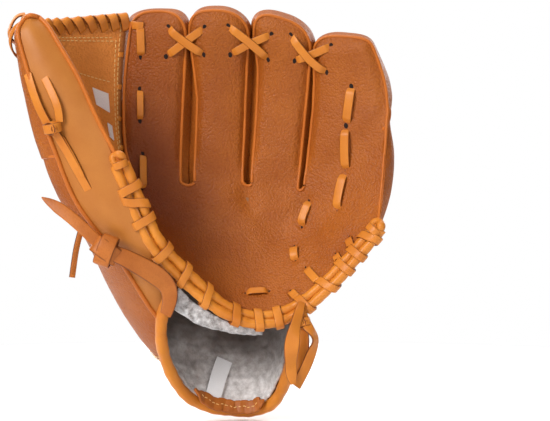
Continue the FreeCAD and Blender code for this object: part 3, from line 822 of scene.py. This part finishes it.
# binding along the top of the back, where the stalls come out of it
for side, u0, u1, count, place in (
        ("thumb", 1.0, SPLIT_U, 70, bend_thumb), ("pinky", SPLIT_U, 6.97, 60, bend_pinky)):
    uu = np.linspace(u0, u1, count)
    vv = back_top(uu)
    tuck = 0.6 + 3.0 * smooth(vv, 5.2, 6.1)
    pile = Pile()
    tube(pile, back.at(uu, vv) + back.normal(uu, vv) * tuck[:, None], 1.7, 12, 140)
    pile.piece("back_binding_" + side + "_side", M_WELT, "binding_leather", place)

# the thumb stall's back and side, up to its rounded tip
u, v = np.meshgrid(np.linspace(1.0, 4.0, 80), np.linspace(-0.02, 5.0, 90))
obj = shell("thumb_stall", thumb, u, v, M_PALM, thickness=1.8)
done(obj, "palm_leather", bend_thumb, "thumb_back_panel", "thumb_liner")

# outer panel: one smooth piece from the heel up to the thumb's tip
OUTER = []
for row in BACK[:6] + THUMB[2:]:
    a, b = np.array(row[0], float), np.array(row[1], float)
    middle = (a + b) / 2 + np.array([-0.8, -3.4, -0.6])
    OUTER.append([tuple(a), tuple(middle), tuple(b)])
outer_net = Net(OUTER, 1)
OUTER_TOP = 10.0
u, v = np.meshgrid(np.linspace(0.0, 2.0, 44), np.linspace(0.0, OUTER_TOP, 170))
# the panel darkens at both edges, beside the piping: painted shade in the creases
obj = shell("thumb_outer_leather", outer_net, u, v, M_OUTER, mark=smooth(np.abs(u - 1), 0.97, 1.0) * 0.5)
done(obj, "smooth_tan_leather", bend_thumb, "thumb_outer_panel", "outer_panel_heel_end")


def cap_thumb():
    """The thumb's rounded end, closed over the top row of its panels."""
    front = outer_net.at(np.linspace(0, 2, 14), OUTER_TOP)
    rear = thumb.at(np.linspace(1, 4, 24), 5.0)
    inner = palm.at(np.linspace(0.985, 0.02, 10), THUMB_TOP)
    loop = np.vstack([front[:-1], rear[:-1], inner[:-1]])
    centre = loop.mean(0)
    rise = np.array([-0.1, 0.1, 1.0]) * 4.5
    rows = []
    for a in np.linspace(0, np.pi / 2, 9):
        rows.append(centre + (loop - centre) * math.cos(a) + rise * math.sin(a))
    outer, faces = weld(np.vstack(rows), grid_faces(9, len(loop), closed_cols=True, flip=True))
    return make("thumb_tip_leather", outer, faces, M_OUTER, None, 80)


done(cap_thumb(), "smooth_tan_leather", bend_thumb)
pile = Pile()
path = [(-141, -64, 256), (-147, -65, 254), (-151.5, -63, 247), (-152, -60, 240), (-148, -57, 236)]
face = [(-0.3, -0.6, 0.9), (-0.8, -0.6, 0.7), (-1, -0.6, 0.2), (-1, -0.6, -0.3), (-0.8, -0.6, -0.6)]
band(pile, path, face, 5.0, LACE, 30)
path = [(-143, -69, 249), (-149, -67, 244), (-151.5, -63, 236), (-149.5, -58, 229), (-146, -54, 226)]
face = [(-0.5, -0.8, 0.5), (-0.8, -0.8, 0.2), (-1, -0.5, -0.1), (-1, -0.3, -0.2), (-1, -0.3, -0.2)]
band(pile, path, face, 4.6, LACE, 30)
pile.piece("thumb_tip_lace_ends", M_LACE, "lace_leather", bend_thumb)

# piping round the thumb: up the left edge, over the tip and down the right edge to the heel knot
left_edge = outer_net.at(2.0, np.linspace(0.35, OUTER_TOP, 90))
right_edge = outer_net.at(0.0, np.linspace(OUTER_TOP, 5.0, 50))
top_edge = outer_net.at(np.linspace(2, 0, 9), OUTER_TOP)
top_edge[:, 2] += 2.2 * np.sin(np.linspace(0, np.pi, 9))
line = np.vstack([left_edge, top_edge[1:-1], right_edge])
line[:, 1] -= 0.9
pile = Pile()
tube(pile, line, 1.6, 12, len(line) * 2)
pile.piece("thumb_piping", M_WELT, "binding_leather", bend_thumb,
           "thumb_welt", "thumb_back_welt", "heel_side_welt")

# ---- Web ----
WEB_TUCK = 4.5


def web_at(s, t, lift=0.0):
    """Points and inward normals of the web: s goes from thumb to index finger, t from its foot to its top."""
    u = 1.02 + 0.97 * s
    v = 2.9 + 2.04 * t
    d = WEB_TUCK * np.asarray(s) ** 2
    p = palm.at(u, v)
    n = palm.normal(u, v)
    d = d + 0.5 * wave(p, 20.0, 3.0)
    return p + n * (d - lift)[..., None], n


s, t = np.meshgrid(np.linspace(0, 1, 50), np.linspace(0, 1, 90))
p, n = web_at(s, t)
# the web darkens towards the index finger: a painted shadow in the gap behind the finger's edge
index_gap_shadow = np.tile((smooth(s, 0.90, 1.0) * 0.75).ravel(), 2)
obj = skin("web_leather", p, p + n * 2.2, M_WEB_PAINTED_LIGHT, index_gap_shadow, 60)
done(obj, "palm_leather", bend_thumb, "web_panel", "web_panel_thumb_half")

pile = Pile()
for t0, s0, s1 in ((0.885, 0.0, 0.88), (0.862, 0.0, 0.88), (0.60, 0.3, 0.86)):
    ss = np.linspace(s0, s1, 40)
    p, n = web_at(ss, np.full(40, t0))
    stitches(pile, p, -n)
for s0, t0, t1 in ((0.885, 0.1, 0.885), (0.93, 0.0, 0.97)):
    tt = np.linspace(t0, t1, 60)
    p, n = web_at(np.full(60, s0), tt)
    stitches(pile, p, -n)
pile.piece("web_stitching", M_THREAD, "lace_leather", bend_thumb)

# plain raised blocks of white satin stitch
pile = Pile()
for s0, s1, t0, t1 in ((0.50, 0.78, 0.395, 0.515), (0.70, 0.80, 0.20, 0.30)):
    for k in np.linspace(t0, t1, int((t1 - t0) * 150)):
        p, n = web_at(np.linspace(s0, s1, 8), np.full(8, k))
        arch = 0.25 + 0.25 * np.sin(np.linspace(0, np.pi, 8))
        tube(pile, p - n * arch[:, None], 0.42, 6)
pile.piece("web_satin_stitch_blocks", M_MARK, "label_cloth", bend_thumb)

# top edge: a roll with a lace whipped over it
pile = Pile()
top_p, top_n = web_at(np.linspace(0.0, 0.99, 40), np.full(40, 1.0))
tube(pile, top_p + top_n * 1.0, 2.6, 14)
pile.piece("web_top_roll_leather", M_PALM, "binding_leather", bend_thumb,
           "web_top_roll", "web_top_roll_thumb_half")

# one turn of the lace, from behind the roll over it to the front: along the edge, up, and out in mm
TOP_TURN = [
    (0.5, -0.06, -4.6), (0.4, 0.0, -5.0), (0.25, 0.022, -2.2), (0.05, 0.03, 0.6), (-0.2, 0.022, 3.4),
    (-0.45, -0.005, 3.6), (-0.75, -0.04, 2.0), (-0.95, -0.062, 0.9), (-1.05, -0.07, -1.0),
]
TURN_LEAN = 0.075
pile = Pile()
for s0 in np.linspace(0.06, 0.93, 8):
    path, normals = [], []
    for ds, dt, out in TOP_TURN:
        p, n = web_at(np.array([s0 - ds * TURN_LEAN]), np.array([1.0 + dt]))
        path.append(p[0] - n[0] * out)
        upward = 1.6 if abs(out) < 3 and dt > 0 else 0.0
        normals.append(-n[0] * (1 if out > -1 else -1) + np.array([0, 0, upward]))
    band(pile, path, normals, 6.6, LACE, 28)
pile.piece("web_top_lacing", M_LACE, "lace_leather", bend_thumb, "web_top_lace", "web_top_lace_thumb_half")

# short laces that come out of the web beside the index finger
pile = Pile()
lift = np.array([-0.8, 0.4, 0.6, 0.6, 0.5, 0.4, 0.2, -0.5])
for t0 in (0.18, 0.38, 0.58, 0.78):
    p, n = web_at(np.linspace(0.93, 0.99, 8), np.full(8, t0), lift)
    band(pile, p, -n, 4.0, 1.0, 14)
pile.piece("web_side_lacing", M_LACE, "lace_leather", bend_thumb, "web_side_lace")

# ---- Laces on the palm ----


def surface_lace(pile, a, b, lift=0.4, width=6.3):
    """A lace lying on the leather from hole a to hole b, in net coordinates."""
    k = np.linspace(0, 1, 15)
    u = a[0] + (b[0] - a[0]) * k
    v = a[1] + (b[1] - a[1]) * k
    h = 0.85 + lift * np.sin(np.pi * k) ** 0.7
    h = h - 3.0 * np.exp(-(k / 0.10) ** 2) - 3.0 * np.exp(-((1 - k) / 0.10) ** 2)
    p, n = on_leather(u, v, 0.0)
    # over a gap between fingers the lace spans straight
    chord = p[0] + (p[-1] - p[0]) * k[:, None]
    low = ((p - chord) * n).sum(-1)
    p = p + n * np.where(low < 0, h - low, h)[:, None]
    squeeze = 1 - 0.35 * np.exp(-(k / 0.08) ** 2) - 0.35 * np.exp(-((1 - k) / 0.08) ** 2)
    scale = np.stack([squeeze, np.ones_like(k)], 1)
    band(pile, p, n, width, LACE, 34, scale)


def lacing(name, laces, place, *nodes):
    """Laces on the leather as one piece: the two ends of each, its lift and its width."""
    pile = Pile()
    for lace in laces:
        surface_lace(pile, *lace)
    pile.piece(name, M_LACE, "lace_leather", place, *nodes)


def hole_marks(name, holes, place):
    """The dark insides of the lace holes."""
    pile = Pile()
    sides = 20
    x, y = circle(sides).T[:, :, None]
    faces = [tuple(range(sides)), tuple(2 * sides - 1 - i for i in range(sides))]
    faces += [(i, (i + 1) % sides, sides + (i + 1) % sides, sides + i) for i in range(sides)]
    for u, v in holes:
        p, n = on_leather(np.array([u]), np.array([v]), 0.0)
        p, n = p[0], n[0]
        t = unit(np.cross(n, np.array([1.0, 0.0, 0.2])))
        side = np.cross(n, t)
        rim = p + n * 0.22 + side * (x * 1.6) + t * (y * 2.1)
        bottom = p - n * 0.8 + side * (x * 1.4) + t * (y * 1.8)
        pile.add(np.vstack([rim, bottom]), faces)
    pile.piece(name, M_HOLE, "palm_leather", place)


lacing("tip_lacing", [
    ((2.637, 4.514), (3.304, 4.861), 0.3), ((2.652, 4.86), (3.272, 4.532), 2.3),
    ((3.663, 4.528), (4.325, 4.869), 0.3), ((3.658, 4.877), (4.281, 4.542), 2.3)], on_palm, "tip_lace")
lacing("tip_lacing_pinky", [
    ((4.706, 4.62), (5.308, 4.886), 0.3), ((4.627, 4.93), (5.253, 4.49), 2.3)], bend_pinky, "tip_lace_pinky")

pile = Pile()
surface_lace(pile, (2.15, 4.87), (2.217, 4.487), 0.5)
surface_lace(pile, (2.242, 4.102), (2.261, 3.717), 1.3, 5.2)
surface_lace(pile, (2.303, 3.309), (2.185, 2.596), 1.3, 5.6)
k = np.linspace(0, 1, 9)
p, n = on_leather(2.20 - 0.19 * k, 4.86 + 0.01 * k, 1.0 + 0 * k)
p[-2:] += np.array([[0, 1.2, 0], [-0.5, 4.0, 0]])
band(pile, p, n, 6.4, 1.5, 20)
pile.piece("index_edge_lacing", M_LACE, "lace_leather", bend_thumb, "index_edge_lace")

lacing("pinky_edge_lacing", [
    ((5.599, 4.161), (5.55, 3.562), 1.2, 7.2), ((5.54, 3.531), (5.551, 2.733), 1.2, 7.2),
    ((5.535, 2.715), (5.443, 1.844), 1.2, 7.2)], bend_pinky, "pinky_edge_lace")
lacing("palm_tie_lacing", [
    ((5.113, 2.621), (4.95, 1.925), 1.3, 6.6), ((4.759, 1.435), (4.7, 1.072), 1.2, 6.6),
    ((4.049, 0.591), (3.555, 0.601), 1.2, 5.4)], bend_pinky, "palm_tie_lace")

hole_marks("lace_holes_thumb_side", [h for h in LACE_HOLES if h[0] < 4.0], bend_thumb)
hole_marks("lace_holes_pinky_side", [h for h in LACE_HOLES if h[0] >= 4.0], bend_pinky)

# ---- Heel binding: two rolls side by side, with laces wrapped round them ----


def heel_frame(u):
    """Centre, tangent, outward (to the viewer) and across directions of the heel edge."""
    u = np.atleast_1d(np.asarray(u, float))
    p = palm.at(u, 0.0)
    t = unit(palm.at(u + 0.02, 0.0) - palm.at(u - 0.02, 0.0))
    n = -palm.normal(u, 0.02)
    forward = (0.15 + 0.75 * (1 - smooth(u, 2.0, 3.6)))[:, None]
    n = unit(n * (1 - forward) + np.array([0.0, -1.0, 0.0]) * forward)
    n = unit(n - t * (n * t).sum(-1, keepdims=True))
    return p, t, n, np.cross(t, n)


ROLL_R = 3.6


def heel_roll(name, u0, u1, place, node):
    """The two rolls of the binding, side by side, between two columns of the palm."""
    pile = Pile()
    u = np.linspace(u0, u1, int((u1 - u0) * 26) + 4)
    p, t, n, a = heel_frame(u)
    for sign in (-1, 1):
        weave = 0.5 * np.sin(u * 11.0 + sign)
        path = p + a * (sign * (ROLL_R * 0.95 + 0.25 * weave))[:, None] - n * (1.0 + 0.3 * weave)[:, None]
        tube(pile, path, ROLL_R * (1 + 0.05 * np.sin(u * 17 + sign) + 0.03 * np.sin(u * 41)), 18)
    pile.piece(name, M_BIND, "binding_leather", place, node)


heel_roll("heel_roll_thumb_leather", 0.02, 3.0, bend_thumb, "heel_roll_thumb")
heel_roll("heel_roll_pinky_leather", 3.0, 5.97, bend_pinky, "heel_roll_pinky")


def wrap(pile, u, slant, width):
    """One turn of lace round the double roll."""
    a = np.linspace(0.06, 2 * np.pi - 0.06, 40)
    across = np.cos(a - np.pi / 2)
    over = np.sin(a - np.pi / 2)
    p, t, n, side = heel_frame(u + slant * across)
    half = 2 * ROLL_R + 1.0
    high = ROLL_R + 0.95
    x = np.sign(across) * np.abs(across) ** 0.75 * half
    y = np.sign(over) * np.abs(over) ** 0.75 * high
    path = p + side * x[:, None] + n * (y - 1.0)[:, None]
    normals = unit(side * (x / half)[:, None] * 0.9 + n * (y / high)[:, None])
    band(pile, path, normals, width, LACE)


def over_band(pile, hole, u_end):
    """A lace that comes out of a hole in the palm and goes slanting over the double roll to its far side."""
    k = np.linspace(0, 1, 8)
    u_in = hole[0] + (u_end - hole[0]) * 0.45
    u = hole[0] + (u_in - hole[0]) * k
    v = hole[1] + (0.16 - hole[1]) * k
    p, n = on_leather(u, v, 0.9 - 3.0 * np.exp(-(k / 0.13) ** 2) + 1.6 * k)
    turn = np.radians(np.linspace(-72, 150, 16))
    across, over = np.sin(turn), np.cos(turn)
    uu = u_in + (u_end - u_in) * np.linspace(0.15, 1.25, 16)
    q, t, out, side = heel_frame(uu)
    x = np.sign(across) * np.abs(across) ** 0.8 * (2 * ROLL_R + 0.9)
    y = np.sign(over) * np.abs(over) ** 0.8 * (ROLL_R + 0.9)
    roll_path = q + side * x[:, None] + out * (y - 1.0)[:, None]
    roll_n = unit(side * (across * 0.9)[:, None] + out * over[:, None])
    path = np.vstack([p[:-1], roll_path])
    normals = np.vstack([n[:-1], roll_n])
    pinch = np.ones((len(path), 2))
    pinch[0, 0] = 0.7
    band(pile, path, normals, 6.2, LACE, 60, pinch)


THUMB_WRAPS = [
    (0.33, 0.02, 6.6), (0.52, -0.08, 6.6), (0.80, 0.02, 6.6),
    (1.52, 0.03, 6.8), (2.16, 0.06, 6.2), (2.64, 0.06, 6.2),
]
pile = Pile()
for turn in THUMB_WRAPS:
    wrap(pile, *turn)
pile.piece("heel_wraps_thumb", M_LACE, "lace_leather", bend_thumb, "heel_lace_thumb", "heel_lace")
pile = Pile()
for turn in ((3.20, 0.05, 6.6), (3.66, 0.03, 6.6), (4.06, -0.02, 6.4)):
    wrap(pile, *turn)
for u, v, u_end in ((4.437, 0.45, 4.62), (4.828, 0.786, 5.08), (5.30, 0.60, 5.36), (5.521, 0.80, 5.58)):
    over_band(pile, (u, v), u_end)
wrap(pile, 5.80, 0.05, 6.2)
pile.piece("heel_wraps_pinky", M_LACE, "lace_leather", bend_pinky,
           "heel_lace_pinky", "heel_roll", "heel_lace")


def knot(pile, centre, size, axis_a, axis_b, width, thickness):
    """A tight flat-lace knot: three crossing turns."""
    a = unit(np.asarray(axis_a, float))
    b = unit(np.asarray(axis_b, float) - a * (np.asarray(axis_b, float) @ a))
    c = np.cross(a, b)
    centre = np.asarray(centre, float)
    for k, (x, y, z) in enumerate(((a, b, c), (b * 0.6 + a * 0.8, c, a), (a * 0.6 - b * 0.8, c, b))):
        x, y = unit(x), unit(y - x * (y @ x))
        t = np.linspace(0.05, 2 * np.pi - 0.05, 30)
        r = size * (1.0 - 0.12 * k)
        path = centre + np.outer(np.cos(t), x) * r + np.outer(np.sin(t), y) * r * 0.8
        normals = np.outer(np.cos(t), x) + np.outer(np.sin(t), y)
        band(pile, path, normals, width, thickness)


def loop_knot(pile, centre, x_way, y_way, wide, high, thick_ring):
    """A lace end doubled back through itself: a fat closed loop with a turn of lace below it."""
    x_way, y_way = unit(np.asarray(x_way, float)), unit(np.asarray(y_way, float))
    y_way = unit(y_way - x_way * (y_way @ x_way))
    front = np.cross(x_way, y_way)
    t = np.linspace(0, 2 * np.pi, 49)[:-1]
    path = centre + np.outer(np.cos(t) * wide, x_way) + np.outer(np.sin(t) * high, y_way)
    path = path + np.outer(0.8 * np.sin(2 * t), front)
    radius = thick_ring * (1 + 0.1 * np.sin(3 * np.append(t, 0)))
    pile.add(*sweep(np.vstack([path, path[:1]]), circle(14), radius, caps=False))
    a = np.linspace(0.1, 2 * np.pi - 0.1, 34)
    low = centre - y_way * (high + 0.6)
    path = low + np.outer(np.cos(a) * (wide + 1.6), x_way)
    path = path + np.outer(np.sin(a) * (thick_ring + 1.4), front)
    normals = np.outer(np.cos(a), x_way) + np.outer(np.sin(a), front)
    band(pile, path, normals, 5.4, LACE)


pile = Pile()
p, t, n, side = heel_frame([0.0, 0.0])
loop_knot(pile, p[0] - t[0] * 3.0 + n[0] * 1.0, side[0], -t[0], 3.4, 3.6, 2.6)
pile.piece("heel_knot_thumb", M_LACE, "lace_leather", bend_thumb)
pile = Pile()
p, t, n, side = heel_frame([5.95, 5.95])
loop_knot(pile, p[0] + t[0] * 1.0 + n[0] * 1.2, side[0], t[0], 4.4, 3.4, 2.9)
pile.piece("heel_knot_pinky", M_LACE, "lace_leather", bend_pinky)

# ---- Wrist opening: rim roll, fleece, label ----
pile = Pile()
uu = np.linspace(0.12, 6.95, 160)
rim = back.at(uu, 0.0)
tube(pile, rim, 4.4 * (1 + 0.05 * np.sin(uu * 9) + 0.03 * np.sin(uu * 23)), 18)
pile.piece("wrist_rim_leather", M_BIND, "binding_leather", on_palm, "wrist_rim_roll")


u, v = np.meshgrid(np.linspace(0.5, 6.85, 220), np.linspace(0.0, 2.4, 110))
ragged = 0.05 + 0.012 * np.sin(u * 13) + 0.008 * np.sin(u * 31 + 1)
v = ragged + (2.4 - ragged) * v / 2.4
p, n = back.at(u, v), back.normal(u, v)
lump = 1.2 * wave(p, 9.0, 5.0) + 0.8 * wave(p, 4.0, 7.0) + 0.5 * wave(p, 2.2, 9.0)
p = p + n * (4.2 + lump)[..., None]
obj = skin("wrist_fleece_lining", p, p + n * 2.0, M_FLEECE, flip=True)
done(obj, "fleece", on_palm, "wrist_fleece")

# fleece edge hanging under the heel binding
u, t = np.meshgrid(np.linspace(2.30, 3.75, 140), np.linspace(0, 1, 24))
p, _, n, side = [a.reshape(u.shape + (3,)) for a in heel_frame(u.ravel())]
drop = 2.0 + (11.0 + 1.0 * np.sin(u * 9)) * (1 - smooth(u, 2.4, 3.7))
clear = 4.5 * (1 - smooth(u, 2.4, 3.2))
down = side * np.sign(-side[..., 2:3])
low = p - n * (7.0 + 3.0 * t)[..., None] + down * (ROLL_R + clear + drop * t)[..., None]
low = low - n * (0.9 * wave(low, 5.0, 3.0) + 0.6 * wave(low, 2.4, 1.0))[..., None]
obj = skin("heel_fleece_edge", low, low - n * 2.2, M_FLEECE_EDGE)
done(obj, "fleece", on_palm)

# the hem of the rim, turned in over the fleece at the bottom
uu = np.linspace(2.9, 5.1, 60)
hem_v = 0.015 + 0.012 * np.sin(uu * 12) + 0.008 * np.sin(uu * 29)
hem = back.at(uu, hem_v)
hem_n = back.normal(uu, hem_v)
pile = Pile()
fade = np.stack([smooth(uu, 2.85, 3.2) * (1 - smooth(uu, 4.8, 5.12)) + 0.2, np.ones(60)], 1)
hem_line = hem + hem_n * (8.6 + 0.3 * np.sin(uu * 21))[:, None]
pile.add(*sweep(hem_line, flat_section(8.5, 2.2), fade, hem_n))
pile.piece("rim_hem_leather", M_STRAP, "binding_leather", on_palm)
pile = Pile()
stitches(pile, (hem + hem_n * 9.6)[4:-4], hem_n[4:-4])
pile.piece("rim_hem_stitching", M_THREAD, "binding_leather", on_palm)

# blank care label
k = np.linspace(0, 1, 12)
lp = back.at(3.56 + 0.44 * k, 0.10 + 0.70 * k)
ln = back.normal(3.56 + 0.44 * k, 0.10 + 0.70 * k)
pile = Pile()
path = lp + ln * (6.9 + 2.2 * np.sin(np.pi * k * 0.9))[:, None]
pile.add(*sweep(path, flat_section(12.5, 0.4, 24), 1.0, ln))
pile.piece("blank_care_label", M_LABEL, "label_cloth", on_palm, "care_label")

# ---- Thumb tie, wrist strap, heel tie ----


def on_outer(u, v, lift):
    """Points and outward normals at lift mm over the thumb's outer panel."""
    n = -outer_net.normal(u, v)
    return outer_net.at(u, v) + n * np.asarray(lift)[:, None], n


pile = Pile()
p, n = on_outer([2.02, 1.98, 1.9, 1.75], [7.14, 6.75, 6.3, 5.9], [1.0, 2.4, 3.0, 3.4])
band(pile, p, n, 6.4, 1.6, 30)
p, n = on_outer([1.36, 1.24, 1.18, 1.3], [7.12, 6.75, 6.35, 6.0], [-1.0, 1.6, 3.4, 3.0])
band(pile, p, n, 6.0, 1.6, 30)
p, n = on_outer([1.6, 1.5, 1.42, 1.36], [5.7, 5.2, 4.75, 4.25], [3.4, 2.2, 1.6, -0.8])
band(pile, p, n, 6.6, 1.6, 30)
p, n = on_outer([1.46, 1.36, 1.30], [5.6, 5.1, 4.6], [1.2, 1.2, 1.0])
band(pile, p, n, 3.0, 2.4, 24)
kp, kn = on_outer([1.62], [5.86], [4.2])
knot(pile, kp[0], 5.6, [1, 0, 0.2], kn[0], 7.0, 1.8)
pile.piece("thumb_tie", M_LACE, "lace_leather", bend_thumb, "thumb_tie_lace")

KNOT = np.array([-83, -74, 90.0])
pile = Pile()
route = [
    (-43, -46, 44), (-40, -54, 54), (-41, -61, 64), (-48, -67, 72),
    (-58, -71, 78.5), (-70, -75, 85), (-80, -76, 89),
]
normals = [
    (-0.2, -1, 0), (-0.1, -1, -0.2), (-0.1, -1, -0.2), (-0.1, -1, 0),
    (-0.1, -1, 0.1), (0, -1, 0.2), (0, -1, 0.2),
]
wide = [(0.7, 1.2), (0.85, 1), (1.05, 1), (1.15, 1), (1.1, 1), (1, 1), (0.9, 1)]
band(pile, route, normals, 12.5, 2.2, 50, wide)
pile.piece("wrist_strap_leather", M_STRAP, "strap_leather", bend_thumb, "wrist_strap")
pile = Pile()
t = np.linspace(0.1, 2 * np.pi - 0.1, 36)
for r, width, a, b in (
        (9.5, 13.0, (0.75, 0.1, -0.55), (0.1, -1.0, 0)), (10.3, 12.0, (0.35, 0, 0.9), (0, -1.0, 0.1))):
    a, b = unit(np.array(a)), unit(np.array(b))
    path = KNOT + np.outer(np.cos(t), a) * r + np.outer(np.sin(t), b) * r * 0.62
    band(pile, path, np.outer(np.cos(t), a) * 0.7 + np.outer(np.sin(t), b), width, 2.2)
pile.piece("strap_knot_leather", M_STRAP, "strap_leather", bend_thumb, "strap_knot")
pile = Pile()
k = np.linspace(0, 1, 26)
tail = [(-84, -75, 92), (-93, -76, 100), (-104, -74, 110), (-117, -70, 120), (-129, -65, 127)]
tail = spline_line(tail, 26)
taper = np.stack([np.clip((1 - k) / 0.26, 0.02, 1) ** 0.6, np.ones(26)], 1)
pile.add(*sweep(tail, flat_section(8.8, 2.0), taper, np.array([0.1, -1, 0.2])))
hanging = [(-101, -71, 104), (-104, -69.5, 93), (-106, -68, 82), (-107.5, -68, 71)]
band(pile, hanging, [(0.5, -0.8, 0)] * 4, 4.4, 2.0, 20)
pile.piece("strap_tails", M_STRAP, "strap_leather", bend_thumb, "strap_tail")

# the heel tie's tails, each as points along it and the way its flat face looks there
pile = Pile()
wide = np.stack([np.array([0.6, 0.8, 1.0, 1.25, 1.1, 0.95, 0.55]), np.ones(7)], 1)
path = [
    (54, -43, 52), (52, -50, 46), (49, -54, 36), (47, -55, 24),
    (46, -54, 12), (46.5, -53, 2), (48, -52, -5),
]
face = [
    (0.1, -1, 0.2), (0.2, -1, 0.1), (0.5, -1, 0), (-0.1, -1, 0), (0.4, -1, 0), (0.1, -1, 0), (0.3, -1, 0),
]
band(pile, path, face, 8.6, 2.0, 60, wide)
path = [
    (53, -45, 46), (57, -48, 37), (61.5, -49.5, 31), (63.5, -49, 25),
    (61, -47.5, 17), (57.5, -47, 8), (53, -47.5, -1), (49.5, -49, -7),
]
face = [
    (0.1, -1, 0.2), (0.0, -0.9, 0.6), (0.5, -0.6, 0.7), (1, -0.6, 0),
    (0.7, -1, 0), (0.5, -1, 0), (0.5, -1, 0), (0.4, -1, 0),
]
band(pile, path, face, 8.0, 1.9, 60)
path = [(54, -44, 42), (55, -44, 31), (55, -44.5, 20), (53, -45, 9), (50, -46, -1)]
face = [(-0.4, -1, 0), (-0.5, -0.9, 0), (-0.3, -1, 0), (-0.4, -1, 0), (-0.3, -1, 0)]
band(pile, path, face, 8.6, 1.8, 40)
pile.piece("heel_tie_tails", M_LACE, "lace_leather", bend_pinky, "heel_tie_lace")
pile = Pile()
knot(pile, (55, -46, 38), 4.6, (1, 0, 0.3), (0, -1, 0.2), 6.0, 1.7)
pile.piece("heel_tie_knot_leather", M_LACE, "lace_leather", bend_pinky, "heel_tie_knot")

# double stitching and the strap's slot on the back's thumb side
pile = Pile()
for step in (0.0, 0.09):
    uu = np.linspace(2.94, 2.0, 40)
    vv = np.linspace(1.10, 0.10, 40) + step
    stitches(pile, back.at(uu, vv) - back.normal(uu, vv) * 0.5, -back.normal(uu, vv))
pile.piece("back_stitching", M_THREAD, "palm_leather", bend_thumb)
pile = Pile()
k = np.linspace(0, 1, 20)
uu, vv = 2.16 - 0.52 * k, 3.93 - 0.34 * k
lens = np.stack([np.sqrt(np.clip(4 * k * (1 - k), 0.01, 1)), np.ones(20)], 1)
n = -back.normal(uu, vv)
pile.add(*sweep(back.at(uu, vv) + n * 0.4, flat_section(3.4, 0.8), lens, n))
pile.piece("strap_slot_shadow", M_HOLE, "palm_leather", bend_thumb)

# window binding
pile = Pile()
wx, wz, rx, rz = WINDOW
ring = []
for a in np.linspace(0, 2 * np.pi, 90)[:-1]:
    x, z = wx + (rx + 0.4) * math.cos(a), wz + (rz + 0.4) * math.sin(a)
    g = np.array([4.2, 2.8])
    # Newton steps from a point inside the window to the net coordinates of this X and Z
    for _ in range(14):
        h = back.at(g[0], g[1])
        gu = (back.at(g[0] + 0.01, g[1]) - h) / 0.01
        gv = (back.at(g[0], g[1] + 0.01) - h) / 0.01
        slopes = np.array([[gu[0], gv[0]], [gu[2], gv[2]]])
        g = g + np.linalg.solve(slopes, np.array([x - h[0], z - h[2]]))
    ring.append(back.at(g[0], g[1]) + back.normal(g[0], g[1]) * 1.0)
pile.add(*sweep(np.array(ring + ring[:1]), circle(14), 2.9, caps=False))
pile.piece("window_binding_leather", M_BIND, "binding_leather", on_palm, "window_binding")

# padding and lining behind the palm leather
for side, a, b, place in (("thumb", 0.4, 3.2, bend_thumb), ("pinky", 3.2, 5.35, bend_pinky)):
    u, v = np.meshgrid(np.linspace(a, b, 50), np.linspace(0.0, 1.0, 50))
    top = 1.8 + 0.9 * smooth(u, 1.2, 2.0)
    v = 0.3 + (top - 0.3) * v
    p, n = palm.at(u, v), palm.normal(u, v)
    obj = skin("palm_padding_" + side + "_side", p + n * 2.4, p + n * 7.0, M_LINING, None, 60)
    done(obj, "lining_cloth", place, "palm_pad", side + "_pad", "palm_lining", side + "_lining")

# ---- Camera, floor and light ----
scene = bpy.context.scene
cam_data = bpy.data.cameras.new("camera")
cam = bpy.data.objects.new("camera", cam_data)
scene.collection.objects.link(cam)
cam_data.sensor_width = 36
cam_data.lens = 115
cam_data.clip_start, cam_data.clip_end = 0.01, 100
cam.location = (0.0348, -1.3, 0.118)
cam.rotation_euler = (math.radians(90), 0, 0)
scene.camera = cam

FLOOR_Z = -40.0
angles = np.linspace(0, 2 * np.pi, 96, endpoint=False)
rim_points = np.stack([700 * np.cos(angles), 100 + 700 * np.sin(angles), np.full(96, FLOOR_Z)], 1)
m_floor, tree, surface = new_material("floor_paper")[:3]
feed(tree, surface, {"Base Color": (0.93, 0.93, 0.93, 1), "Roughness": 0.9})
make("studio_floor", rim_points, [tuple(range(96))], m_floor)

# a plain white surround that only the camera sees, so that every view has the same pale ground
m_sky = bpy.data.materials.new("white_surround")
m_sky.use_nodes = True
m_sky.node_tree.nodes.clear()
glow = node(m_sky.node_tree, "Emission", {})
node(m_sky.node_tree, "OutputMaterial", {0: glow.outputs[0]})
bpy.ops.mesh.primitive_uv_sphere_add(segments=48, ring_count=24, radius=8.0)
surround = bpy.context.object
surround.name = "white_surround"
surround.data.materials.append(m_sky)
surround.visible_diffuse = surround.visible_glossy = False
surround.visible_transmission = surround.visible_shadow = False

world = bpy.data.worlds.new("world")
scene.world = world
world.use_nodes = True
feed(world.node_tree, world.node_tree.nodes["Background"], {"Color": (1, 1, 1, 1), "Strength": 0.22})


def area(name, place, aim, size, power):
    """A soft rectangular light at place that shines towards aim, in metres and watts."""
    data = bpy.data.lights.new(name, "AREA")
    data.shape = "RECTANGLE"
    data.size, data.size_y = size
    data.energy = power
    obj = bpy.data.objects.new(name, data)
    scene.collection.objects.link(obj)
    obj.location = place
    obj.rotation_euler = (Vector(aim) - Vector(place)).to_track_quat("-Z", "Y").to_euler()


area("key", (-1.05, -1.3, 0.95), (0, 0, 0.12), (0.8, 0.8), 32.5)
area("fill", (0.3, -1.8, 0.2), (0, 0, 0.10), (1.0, 1.0), 6)
area("top", (0.1, 0.0, 1.4), (0, 0, 0.12), (0.9, 0.6), 6)
area("rear_left", (-1.2, 1.3, 0.9), (0, 0, 0.1), (1.0, 1.0), 16)
area("rear_right", (1.2, 1.3, 0.9), (0, 0, 0.1), (1.0, 1.0), 16)
area("floor_light", (0.0, 0.5, 1.2), (0, 0.45, -0.04), (1.6, 0.4), 8)
scene.view_settings.view_transform = "Standard"
